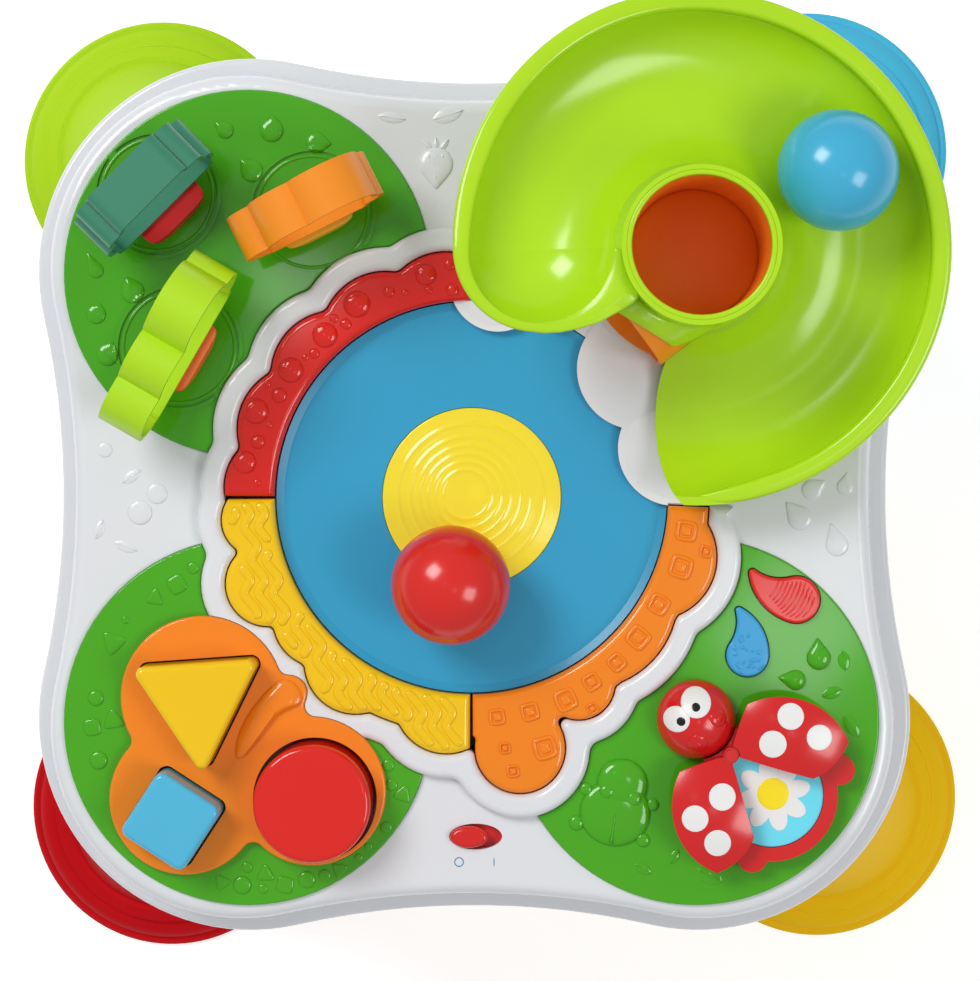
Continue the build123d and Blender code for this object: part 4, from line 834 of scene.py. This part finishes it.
@dataclass
class PressKeys(Assembly):
    """Bubbles on the red key, waves on the yellow key and squares that face inward on the orange key."""

    bubbles: Tuple[Spot, ...] = (
        (-23.9, 117.6, 5.6), (-60.2, 102.1, 7.1), (-77.0, 85.8, 6.7), (-95.0, 67.3, 6.7),
        (-113.4, 45.7, 6.7), (-119.2, 18.8, 6.0), (-11.3, 122.7, 3.0), (-9.8, 109.5, 3.4),
        (-22.4, 109.5, 2.2), (-43.1, 108.5, 3.0), (-34.9, 108.2, 1.8), (-66.0, 91.6, 3.0),
        (-72.3, 94.6, 2.5), (-82.6, 76.1, 2.7), (-101.0, 54.0, 4.1), (-107.4, 60.0, 2.0),
        (-112.4, 29.5, 3.8), (-106.5, 38.4, 1.8), (-87.3, 73.9, 1.8), (-112.8, 8.0, 2.0),
    )
    squares: Tuple[Spot, ...] = (
        (113.4, -17.5, 11.6), (110.5, -36.5, 12.7), (123.7, -28.3, 6.9), (98.9, -56.2, 11.1),
        (88.0, -73.7, 12.1), (76.8, -86.8, 9.5), (63.5, -97.1, 9.5), (49.8, -106.6, 12.1),
        (64.0, -111.2, 6.3), (38.9, -131.9, 12.7), (31.0, -112.8, 10.0), (13.6, -115.5, 9.0),
        (17.8, -131.9, 6.3), (22.1, -144.1, 6.9),
    )
    frame_rib: Point2 = (2.4, 1.1)
    wave_starts: Tuple[float, float, float] = (-185.0, 10.0, 7.6)  # first, last and gap
    wave_top: float = 2.0
    wave_reach: float = 190.0
    wave_step: float = 0.9
    wave_drop: Point2 = (10.0, 7.5)
    wave_swing: Point2 = (8.6, -4.8)
    wave_rib: Point2 = (5.0, 1.0)
    crown: float = 0.9
    shortest: int = 11

    def build(self) -> None:
        """Raise each key's own pattern."""
        ground = Ground(KEY_TOP, "red_key")
        forms = [button(x, y, r, ground, r * 0.42) for x, y, r in self.bubbles]
        self.add("red_key_bubbles", forms, "red", "key_red", "red_key_body")
        self.add("yellow_key_waves", self._waves(), "yellow", "key_yellow", "yellow_key_body")
        ground = Ground(KEY_TOP, "orange_key")
        forms = []
        for x, y, side in self.squares:
            turn = math.degrees(math.atan2(y, x))
            rib = min(self.frame_rib[0], side * 0.2)
            path = placed(tile(side - rib, corner=0.1), x, y, turn)
            forms.append(ribbon(path, rib, self.frame_rib[1], ground, loop=True))
            forms.append(pillow(placed(tile(side * 0.44), x, y, turn), ground, 1.0, 4.0))
        self.add("orange_key_squares", forms, "orange", "key_orange", "orange_key_body")

    def _waves(self) -> List[Form]:
        """Run soft zigzag ribs over the yellow key, side by side.

        Going down in plan, a rib moves to the right over the first drop of its wave and back to the
        left, by less, over the second, and a running mean of five points rounds its corners. Only the
        runs that lie on the key's crown with both flanks are kept, and short ones are left out.

        Returns:
            One closed rib for each run.
        """
        fall, back = self.wave_drop
        right, left = self.wave_swing
        along = np.arange(0.0, self.wave_reach, self.wave_step)
        waves, phase = np.divmod(along, fall + back)
        swing = waves * (right + left)
        swing = swing + np.interp(phase, [0.0, fall, fall + back], [0.0, right, right + left])
        swing = np.convolve(np.pad(swing, 2, "edge"), np.full(5, 0.2), "valid")
        ground = Ground(KEY_TOP - 2.0, "yellow_key")
        flank = np.array([self.wave_rib[0] * 0.7, 0.0])
        forms = []
        for start in np.arange(*self.wave_starts):
            path = np.column_stack([start + swing, self.wave_top - along])
            lowest = np.min([ground.under(path + shift) for shift in (-flank, 0 * flank, flank)], axis=0)
            edges = np.flatnonzero(np.diff(np.pad(lowest > KEY_TOP - self.crown, 1).astype(int)))
            forms += [ribbon(path[first:last], *self.wave_rib, ground)
                      for first, last in edges.reshape(-1, 2) if last - first >= self.shortest]
        return forms


@dataclass
class CasingReliefs(Assembly):
    """Raised fruit and leaves on the white casing, and the printed switch marks."""

    blades: Tuple[Blade, ...] = (
        (-42.1, 201.0, 15.0, 6.0, -8.0), (-12.5, 202.4, 17.0, 8.5, 18.0),
        (-180.0, 11.0, 12.0, 6.0, 35.0), (-197.0, -17.0, 11.0, 5.5, 70.0),
        (-183.0, -26.0, 13.0, 6.0, -20.0),
    )
    drops: Tuple[Drop, ...] = (
        (180.2, 3.9, 5.5, 188.0, 9.0), (197.7, 5.5, 4.5, 199.0, 14.0), (173.8, -10.9, 6.5, 166.0, -2.0),
        (193.4, -25.2, 6.0, 190.0, -13.0),
    )
    cherries: Tuple[Spot, ...] = ((-175.5, -8.0, 6.5), (-166.5, 2.0, 5.5), (-194.0, 25.1, 4.0))
    berry: Tuple[float, float, float, float] = (-18.8, 176.4, 9.0, 14.0)  # x, y, half width and reach
    seed_gap: float = 3.6
    off_mark: Point2 = (-6.6, -193.0)
    on_mark: Point2 = (11.9, -193.0)
    print_rib: Point2 = (0.6, 0.08)

    def build(self) -> None:
        """Raise the fruit and print the O and I beside the switch."""
        ground = Ground(DECK, "top_casing")
        forms = leaves(self.blades, ground, 0.8) + droplets(self.drops, ground, 0.22)
        forms += [button(x, y, r, ground, r * 0.2, 2.4) for x, y, r in self.cherries]
        forms += self._berry(ground)
        self.add("casing_reliefs", forms, "casing", "casing_white")
        flat = Ground(DECK)
        ring = ribbon(placed(disc(2.3), *self.off_mark), *self.print_rib, flat, loop=True, sink=0.05)
        bar = np.column_stack([np.zeros(8), np.linspace(-2.4, 2.4, 8)])
        stroke = ribbon(placed(bar, *self.on_mark), *self.print_rib, flat, sink=0.05)
        self.add("switch_marks", [ring, stroke], "mark", "casing_white")

    def _berry(self, ground: Ground) -> List[Form]:
        """Raise a strawberry that points down, with seeds in staggered rows and a leafy crown.

        Args:
            ground: What it stands on.

        Returns:
            The fruit, its seeds and its leaves.
        """
        x, y, half, reach = self.berry
        forms = [pillow(placed(drop(half, reach), x, y, -90.0), ground, 2.0, 2.2, middle=(x, y))]
        top = Ground(DECK + 1.5)
        for row, count in enumerate((3, 3, 2, 1)):
            for place in (np.arange(count) - (count - 1) / 2) * self.seed_gap:
                seed = placed(disc(0.7, 16) * (1.0, 1.5), x + place, y + 4.0 - row * self.seed_gap)
                forms.append(pillow(seed, top, 0.5, sink=1.5))
        crown = [(x + 4.2 * k, y + half + 1.0, 8.0, 3.4, 90.0 - 38.0 * k) for k in (-1, 0, 1)]
        return forms + leaves(crown, ground, 0.9)


@dataclass
class Lamp(Assembly):
    """The clear yellow lens with moulded ripples that replaces the plain lens."""

    radius: float = 47.3
    sag: float = 2.2
    ripples_mm: Tuple[float, ...] = (13.0, 17.5, 22.0, 26.5, 31.5, 38.5)
    ripple_rise: float = 0.55
    ripple_spread: float = 1.1
    drift: Point2 = (-4.0, 2.0)

    def build(self) -> None:
        """Make the lens as a closed surface of revolution with drifting ripples.

        The top falls from the middle by sag * (r / R)^2. Each ripple adds
        rise * exp(-(r - ripple)^2 / spread) and is centred a little to one side, the inner ones more,
        so the rings crowd together on the left.
        """
        low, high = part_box("lamp_lens")
        middle = [(a + b) / 2 / MM for a, b in zip(low, high)]
        circle = disc(1.0, 120)
        rings = []
        for share in np.concatenate([np.linspace(0.02, 0.985, 90), [1.0]]):
            plan = circle * (self.radius * share)
            rise = -self.sag * share ** 2 + np.zeros(len(plan))
            for ripple in self.ripples_mm:
                slip = np.array(self.drift) * (1 - ripple / self.radius)
                away = np.hypot(*(plan - slip).T) - ripple
                rise += self.ripple_rise * np.exp(-away ** 2 / self.ripple_spread) * (share < 0.97)
            rings.append(np.column_stack([plan + middle[:2], high[2] / MM - 0.6 + rise]))
        rings.append(at_level(rings[-1][:, :2], low[2] / MM + 0.1))
        lens = self.add("lens_rippled", [Form.skin(rings)], "lens", "lens_yellow")
        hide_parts("lamp_lens")


@dataclass
class SlideTower(Assembly):
    """The slide's rolled rim and web, the tube's lip and floor, and the hood over the way out.

    Lengths are in millimetres and angles in degrees about the tower's axis.
    """

    tower: Point2 = (117.0, 128.0)
    reach: float = 85.0
    half: float = 41.5
    pinch: float = 4.0
    depth: float = 24.0
    lip: float = 4.5
    low_floor: float = 362.0
    low_drop: float = 12.0
    high_drop: float = 48.0
    mouth: float = -96.0
    rim_start: float = -90.5
    crown: float = 180.5
    cap_end: float = 262.0
    pinch_start: float = 95.0
    web_edge: Tuple[Point2, ...] = (
        (-78.0, -43.3), (-70.0, -43.0), (-60.0, -41.0), (-50.2, -37.9), (-41.0, -33.0), (-33.5, -28.2),
    )
    web_turns: Point2 = (268.0, 360.0)
    web_sleeve: Tuple[float, float, float] = (39.2, 219.5, 183.0)  # radius, start and end
    web_section: Tuple[Point2, ...] = (
        (0.0, -3.0), (0.0, -0.6), (0.06, 0.25), (0.5, 0.35), (0.94, 0.3), (1.0, -0.6), (1.0, -3.0),
    )
    sleeve_top: float = 455.0
    bead_radius: float = 35.95
    bead_half: Point2 = (1.55, 3.0)
    way_out: float = 218.0
    way_axis: float = 390.5
    hood_leans: Point2 = (-78.0, 80.0)
    hood_start: float = 38.4
    hood_end: float = 52.5
    hood_slant: float = 0.39
    hood_fade: Point2 = (1.4, 0.4)  # last lean and length of the fade, in radians
    hood_section: Tuple[Point2, ...] = (
        (0.0, 35.9), (0.0, 37.4), (0.33, 37.4), (0.66, 37.4), (0.97, 37.4), (1.0, 36.9), (1.0, 36.2),
        (0.97, 35.9), (0.5, 35.9),
    )
    floor_radius: float = 34.2
    floor_level: float = 360.3

    def build(self) -> None:
        """Add the rim, the web, the lip, the hood and the floor."""
        pieces = {"slide_rim": self._rim(*self._edge()), "slide_web": self._web(),
                  "sleeve_lip": self._sleeve_lip(), "way_out_hood": self._hood()}
        for name, form in pieces.items():
            self.add(name, [form], "lime", "slide_lime")
        floor = button(*self.tower, self.floor_radius, Ground(self.floor_level), 2.4, count=96)
        self.add("tube_floor", [floor], "tower", "tower_orange")

    def _edge(self) -> Tuple[np.ndarray, np.ndarray, np.ndarray]:
        """Follow the slide's outer edge from its mouth, up round the tower and round its high end.

        The floor climbs by low_drop * s + high_drop * s^2 over the share s of the turn, and the edge
        draws in by twice the pinch over the last part, by the smooth step e^2 * (3 - 2 * e).

        Returns:
            Plan points, height of the edge, and width of the rim at each point.
        """
        angle = np.linspace(self.rim_start, self.crown, 130)
        share = (angle - self.mouth) / (self.crown - self.mouth)
        ease = np.clip((angle - self.pinch_start) / (self.crown - self.pinch_start), 0.0, 1.0)
        ease = ease * ease * (3 - 2 * ease)
        radius = self.reach + self.half + self.lip - 2 * self.pinch * ease
        climb = unit(np.radians(angle)) * radius[:, None]
        level = self.low_floor + self.low_drop * share + self.high_drop * share ** 2 + self.depth
        middle = (self.reach - self.pinch) * unit(np.radians(angle[-1:]))
        around = np.radians(np.linspace(self.crown + 3.0, self.cap_end, 26))
        cap = middle + (self.half - self.pinch + self.lip) * unit(around)
        plan = np.concatenate([climb, cap, np.array(self.web_edge)])
        level = np.concatenate([level, np.full(len(plan) - len(level), level[-1])])
        stations, widths = [0, 8, 118, 150, len(plan) - 1], [7.0, 10.0, 10.0, 5.0, 4.0]
        return plan + np.array(self.tower), level, np.interp(np.arange(len(plan)), stations, widths)

    def _rim(self, edge: np.ndarray, level: np.ndarray, width: np.ndarray) -> Form:
        """Carry a full rounded bead along the edge.

        Across the edge the bead is |x / half width|^4 + |z / half height|^4 = 1, and it shrinks at its
        ends.

        Args:
            edge: Plan points of the edge.
            level: Height of the edge at each point.
            width: Width of the bead at each point.

        Returns:
            The closed bead.
        """
        ahead = np.gradient(edge, axis=0)
        ahead /= np.linalg.norm(ahead, axis=1, keepdims=True)
        out = np.column_stack([ahead[:, 1], -ahead[:, 0]])
        turn = unit(full_turn(24))
        across, up = (np.sign(turn) * np.sqrt(np.abs(turn))).T
        swell = np.ones(len(edge))
        swell[:6] = (0.3, 0.5, 0.68, 0.82, 0.92, 0.98)
        swell[-2:] = (0.85, 0.4)
        middle = edge - out * width[:, None] / 2
        half = ((width / 2 + 0.2) * swell)[:, None, None] * across[None, :, None]
        height = (level - 0.32 * width)[:, None] + (0.52 * width * swell)[:, None] * up[None, :]
        return Form.skin(np.dstack([middle[:, None, :] + out[:, None, :] * half, height]))

    def _web(self) -> Form:
        """Close the high end's floor to the tube with a flat strip.

        It runs between the round end's wall and the web's edge, and its section is given as shares of
        the way across and heights over the slide's edge.

        Returns:
            The closed strip.
        """
        turn = np.radians(np.linspace(*self.web_turns, 40))
        level = self.low_floor + self.low_drop + self.high_drop + self.depth
        middle = np.array([-(self.reach - self.pinch), -0.7])
        inner = middle + (self.half - self.pinch - 0.2) * unit(turn)
        radius, start, end = self.web_sleeve
        sleeve = radius * unit(np.radians(np.linspace(start, end, 14)))
        outer = np.concatenate([np.array(self.web_edge), sleeve])
        steps = np.concatenate([[0.0], np.cumsum(np.linalg.norm(np.diff(outer, axis=0), axis=1))])
        even = np.linspace(0, steps[-1], len(inner))
        outer = np.column_stack([np.interp(even, steps, side) for side in outer.T])
        rings = [at_level(inner + (outer - inner) * share + np.array(self.tower), level + height)
                 for share, height in self.web_section]
        return Form.skin(np.array(rings).transpose(1, 0, 2))

    def _sleeve_lip(self) -> Form:
        """Cover the tube's end with a bead beside the sleeve's.

        Its section |x / half width|^4 + |z / half height|^4 = 1 is revolved about the tower.

        Returns:
            The closed ring.
        """
        across, up = (squircle(full_turn(28), 4) * self.bead_half).T
        radius = self.bead_radius + across
        height = self.sleeve_top - self.bead_half[1] - 0.05 + up
        plan = unit(full_turn(128))[:, None, :] * radius[None, :, None] + np.array(self.tower)
        return Form.skin(np.dstack([plan, np.broadcast_to(height, plan.shape[:2])]), loop=True)

    def _hood(self) -> Form:
        """Arch a shell over the way out, from the sleeve to a slanted end.

        Across the way out the shell is an arc. It starts in the sleeve's wall and ends at
        end - slant * (distance to the side), and on either side it fades back into the sleeve.

        Returns:
            The closed shell.
        """
        lean = np.radians(np.linspace(*self.hood_leans, 41))
        ahead = unit(np.radians([self.way_out]))[0]
        side = np.array([-ahead[1], ahead[0]])
        last, length = self.hood_fade
        fade = np.minimum(1.0, (last - np.abs(lean)) / length) ** 0.5
        stations = []
        for share, radius in self.hood_section:
            beside = radius * np.sin(lean)
            start = np.sqrt(np.maximum(self.hood_start ** 2 - beside ** 2, 60.0))
            end = np.minimum(self.hood_end - self.hood_slant * beside, self.hood_end)
            end = start + (end - start) * fade
            along = start + (end - start) * share
            plan = ahead * along[:, None] + side * beside[:, None] + np.array(self.tower)
            stations.append(np.column_stack([plan, self.way_axis + radius * np.cos(lean)]))
        return Form.skin(np.array(stations).transpose(1, 0, 2))


@dataclass
class Ladybird(Assembly):
    """Eyes, cheeks and spots of the ladybird, and the plain flower under its wings."""

    eyes: Tuple[Spot, ...] = ((107.7, -115.0, 6.8), (117.8, -106.3, 7.9))
    pupils: Tuple[Point2, ...] = ((109.9, -116.0), (117.7, -108.5))
    pupil_radius: float = 2.3
    cheeks: Tuple[Spot, ...] = ((129.6, -114.3, 4.6), (118.7, -128.0, 5.2))
    upper_spots: Tuple[Spot, ...] = ((167.0, -113.2, 6.9), (182.0, -124.3, 6.7), (157.7, -127.7, 7.1))
    lower_spots: Tuple[Spot, ...] = ((131.4, -155.2, 7.0), (117.2, -166.4, 6.9), (129.0, -179.3, 7.0))
    flower: Point2 = (158.8, -155.4)
    petals: int = 8
    petal_reach: float = 12.2
    petal_half: Point2 = (7.6, 4.9)
    petal_turn: float = 12.0
    heart_radius: float = 8.6

    def build(self) -> None:
        """Print the eyes, spots and flower and raise the cheeks."""
        head = Ground(PANEL_TOP, "ladybird_head")
        whites = [button(*eye, head, 0.3 + 0.1 * number, 8.0, 0.3, 56)
                  for number, eye in enumerate(self.eyes)]
        piece = self.add("ladybird_eye_whites", whites, "spot", "eye_white")
        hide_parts("ladybird_eyes")
        pupils = [button(x, y, self.pupil_radius, head, 0.6, 6.0) for x, y in self.pupils]
        self.add("ladybird_pupils", pupils, "pupil", "eye_white")
        cheeks = []
        for x, y, radius in self.cheeks:
            cheeks.append(button(x, y, radius, head, 1.3, sink=1.0))
            cheeks.append(button(x + 0.6, y - 0.8, radius * 0.4, head, 2.1, sink=1.0))
        self.add("ladybird_cheeks", cheeks, "bug", "bug_red")
        for name, spots in (("upper_wing", self.upper_spots), ("lower_wing", self.lower_spots)):
            wing = Ground(PANEL_TOP, name)
            forms = [button(*spot, wing, 0.12, 8.0, 0.1, 48) for spot in spots]
            self.add(f"{name}_spots", forms, "spot", "wing_red", f"{name}_body")
        disc_top = Ground(PANEL_TOP, "picture_disc")
        petals = []
        for number in range(self.petals):
            heading = 360.0 / self.petals * number + self.petal_turn
            x, y = np.array(self.flower) + self.petal_reach * unit(np.radians([heading]))[0]
            outline = placed(disc(1.0) * self.petal_half, x, y, heading)
            petals.append(pillow(outline, disc_top, 0.25, 5.0, sink=0.1))
        self.add("flower_petals", petals, "spot", "picture")
        heart = button(*self.flower, self.heart_radius, disc_top, 0.6, 3.0, 0.1, 56)
        self.add("flower_heart", [heart], "heart", "picture")


@dataclass
class DropButtons(Assembly):
    """Ribs on the red droplet button and bubbles on the blue one.

    A button is the plan x and y of its bulb and the heading of its tip. The room for bubbles is the
    bulb's radius, and half a width that narrows by a share of the way to the tip.
    """

    red: Tuple[float, float, float] = (171.7, -53.9, 148.4)
    blue: Tuple[float, float, float] = (145.8, -83.3, 100.6)
    rib_span: Tuple[float, float, float] = (-8.0, 15.0, 2.3)  # first, last and gap
    rib_half: float = 10.2
    rib_taper: float = 24.0
    rib_bow: float = 0.02
    rib_lean: float = 0.12
    bubbles: int = 26
    seed: int = 7
    bubble_along: Point2 = (-7.5, 13.0)
    bubble_across: Point2 = (-7.5, 7.5)
    bubble_radius: Point2 = (0.6, 1.5)
    room: Tuple[float, float, float] = (8.2, 6.5, 0.42)

    def build(self) -> None:
        """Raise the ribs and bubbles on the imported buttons."""
        x, y, heading = self.red
        ground = Ground(PANEL_TOP + BUTTON_RISE, "red_button")
        forms = []
        for along in np.arange(*self.rib_span):
            half = math.sqrt(max(self.rib_half ** 2 - min(along, 0.0) ** 2, 1.0))
            half *= 1 - max(along, 0.0) / self.rib_taper
            across = np.linspace(-half, half, 18)
            bow = np.column_stack([along + self.rib_bow * across ** 2,
                                   across + max(along, 0.0) * self.rib_lean])
            forms.append(ribbon(placed(bow, x, y, heading), 1.2, 0.45, ground))
        self.add("red_button_ribs", forms, "red", "button_red", "red_button_body")
        x, y, heading = self.blue
        ground = Ground(PANEL_TOP + BUTTON_RISE, "blue_button")
        dice = np.random.default_rng(self.seed)
        bulb, half, narrowing = self.room
        forms = []
        while len(forms) < self.bubbles:
            along, across = dice.uniform(*self.bubble_along), dice.uniform(*self.bubble_across)
            if math.hypot(along, across) > bulb and abs(across) > half - along * narrowing:
                continue
            bubble = disc(dice.uniform(*self.bubble_radius), 20) + np.array([along, across])
            forms.append(pillow(placed(bubble, x, y, heading), ground, 0.5))
        self.add("blue_button_bubbles", forms, "button_blue", "button_blue", "blue_button_body")


@dataclass
class BallSeams(Assembly):
    """The faint line where the two halves of each blown ball meet."""

    tilts: Tuple[Tuple[str, float], ...] = (("red", 35.0), ("blue", -35.0))
    radius: float = 31.0

    def build(self) -> None:
        """Lay a thin rib round each ball on a tilted plane through its centre."""
        turn, bow = full_turn(120), full_turn(8)
        for colour, tilt in self.tilts:
            low, high = (np.array(corner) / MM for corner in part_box(f"{colour}_ball"))
            c, s = math.cos(math.radians(tilt)), math.sin(math.radians(tilt))
            out = unit(turn) @ np.array([[c, 0.0, s], [0.0, 1.0, 0.0]])
            rings = ((low + high) / 2
                     + out[:, None, :] * (self.radius - 0.1 + 0.2 * np.cos(bow))[None, :, None]
                     + np.array([-s, 0.0, c]) * (0.35 * np.sin(bow))[None, :, None])
            finish = f"ball_{colour}"
            seam = [Form.skin(rings, loop=True)]
            self.add(f"{colour}_ball_seam", seam, finish, finish, f"{colour}_ball_body")


@dataclass
class RubberPads(Assembly):
    """The rubber domes that bring the keys and buttons back. They flatten as those go down, but here
    they are built at full height.

    A row is a node, the joint that presses it, and the share of its height that is left at the joint's
    limit. The profile is a share of the radius and a share of the height.
    """

    pads: Tuple[Tuple[str, str, float], ...] = (
        ("red_key_pads", "red_key_press", 0.38), ("yellow_key_pads", "yellow_key_press", 0.38),
        ("orange_key_pads", "orange_key_press", 0.38), ("red_button_pad", "red_button_press", 0.31),
        ("blue_button_pad", "blue_button_press", 0.31),
    )
    profile: Tuple[Point2, ...] = (
        (1.0, 0.0), (1.0, 0.1), (0.95, 0.16), (0.84, 0.22), (0.78, 0.6), (0.74, 0.9), (0.68, 0.98),
        (0.6, 1.0), (0.1, 1.0),
    )
    apart: float = 16.0

    def build(self) -> None:
        """Turn each dome's profile about its own axis, at full height."""
        for node_name, joint, keep in self.pads:
            low, high = heights(node_name)
            domes = [Form.skin([at_level(placed(disc(radius * share), x, y), low + (high - low) * rise)
                                for share, rise in self.profile])
                     for x, y, radius in self._places(node_name)]
            piece = self.add(f"{node_name}_domes", domes, "rubber", "pad_rubber")
            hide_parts(node_name)
            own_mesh(piece)

    def _places(self, node_name: str) -> List[Spot]:
        """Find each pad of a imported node: points close to the first one that is left belong together.

        Args:
            node_name: The node that holds the pads.

        Returns:
            Plan x and y and radius of each pad, in millimetres.
        """
        left = np.array([v.co[:2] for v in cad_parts[node_name].data.vertices]) / MM
        places = []
        while len(left):
            mine = np.hypot(*(left - left[0]).T) < self.apart
            low, high = left[mine].min(axis=0), left[mine].max(axis=0)
            places.append((*((low + high) / 2), (high[0] - low[0]) / 2))
            left = left[~mine]
        return places


# ---------------------------------------------------------------- studio
@dataclass
class Studio:
    """Floor, lights and camera. A lamp is its name, place and size in metres, and power in watts."""

    camera_xyz: Point3 = (0.050, 0.051, 1.800)
    focal_px: float = 2736.0
    nadir_px: Point2 = (566.0, 401.0)
    frame_px: Tuple[int, int] = (980, 981)
    sensor_mm: float = 36.0
    floor_half: float = 6.0
    floor_lift: float = 0.45
    sky: float = 0.42
    aim: Point3 = (0.0, 0.0, 0.35)
    lamps: Tuple[Tuple[str, Point3, float, float], ...] = (
        ("box_left", (-1.4, 1.3, 2.4), 1.1, 42.0), ("box_right", (1.5, -0.6, 2.2), 0.9, 16.0),
        ("window_near", (0.34, -0.24, 2.4), 0.16, 0.3), ("window_far", (-0.30, 0.20, 2.4), 0.1, 0.1),
    )

    def build(self) -> None:
        """Set up the camera, the pale floor, the soft boxes and the sky."""
        self._camera()
        self._floor()
        self._lights()
        bpy.context.scene.view_settings.view_transform = "Standard"

    def _camera(self) -> None:
        """Look straight down; the shift moves the point under the lens to its pixel."""
        width, height = self.frame_px
        data = bpy.data.cameras.new("camera")
        data.sensor_fit = "HORIZONTAL"
        data.sensor_width = self.sensor_mm
        data.lens = self.focal_px * self.sensor_mm / width
        data.shift_x = (width / 2 - self.nadir_px[0]) / width
        data.shift_y = (self.nadir_px[1] - height / 2) / width
        camera = bpy.data.objects.new("camera", data)
        camera.location = self.camera_xyz
        bpy.context.scene.collection.objects.link(camera)
        bpy.context.scene.camera = camera

    def _floor(self) -> None:
        """Lay a plain pale floor that keeps the table's shadow and shows as white."""
        half = self.floor_half
        mesh = bpy.data.meshes.new("floor")
        corners = [(-half, -half, 0), (half, -half, 0), (half, half, 0), (-half, half, 0)]
        mesh.from_pydata(corners, [], [(0, 1, 2, 3)])
        floor = bpy.data.objects.new("floor", mesh)
        bpy.context.scene.collection.objects.link(floor)
        stock = Stock("Studio_floor")
        path = node(stock.tree, "ShaderNodeLightPath").outputs
        seen = path["Is Camera Ray"]
        steps = (("MAXIMUM", path["Is Glossy Ray"]), ("MAXIMUM", path["Is Transmission Ray"]),
                 ("MULTIPLY", self.floor_lift))
        for operation, other in steps:
            inputs = {0: seen, 1: other}
            seen = node(stock.tree, "ShaderNodeMath", {"operation": operation}, inputs).outputs[0]
        stock.feed("Emission Strength", seen)
        stock.set(Base_Color=linear("#F4F4F4"), Roughness=0.9, Emission_Color=(1, 1, 1, 1))
        mesh.materials.append(stock.material)

    def _lights(self) -> None:
        """Hang the soft boxes and the small windows, and light a plain sky."""
        world = bpy.data.worlds.new("sky")
        bpy.context.scene.world = world
        world.use_nodes = True
        back = world.node_tree.nodes["Background"]
        back.inputs["Color"].default_value = (1, 1, 1, 1)
        back.inputs["Strength"].default_value = self.sky
        for name, place, size, power in self.lamps:
            data = bpy.data.lights.new(name, "AREA")
            data.size = size
            data.energy = power
            lamp = bpy.data.objects.new(name, data)
            lamp.location = place
            aim = np.array(self.aim) - np.array(place)
            tip = math.atan2(math.hypot(aim[0], aim[1]), -aim[2])
            lamp.rotation_euler = (tip, 0.0, math.atan2(aim[1], aim[0]) - math.pi / 2)
            bpy.context.scene.collection.objects.link(lamp)


def main() -> None:
    """Build every sub-assembly in order."""
    logging.basicConfig(level=logging.INFO, format="%(message)s")
    materials = {key: finish.build() for key, finish in FINISHES.items()}
    dress_nodes(materials)
    for kind in (SpinnerCorner, SorterCorner, BugCorner, PressKeys, CasingReliefs, Lamp, SlideTower,
                 Ladybird, DropButtons, BallSeams, RubberPads):
        kind(materials).build()
        LOG.info("built %s", kind.__name__)
    Studio().build()


if __name__ == "__main__":
    main()
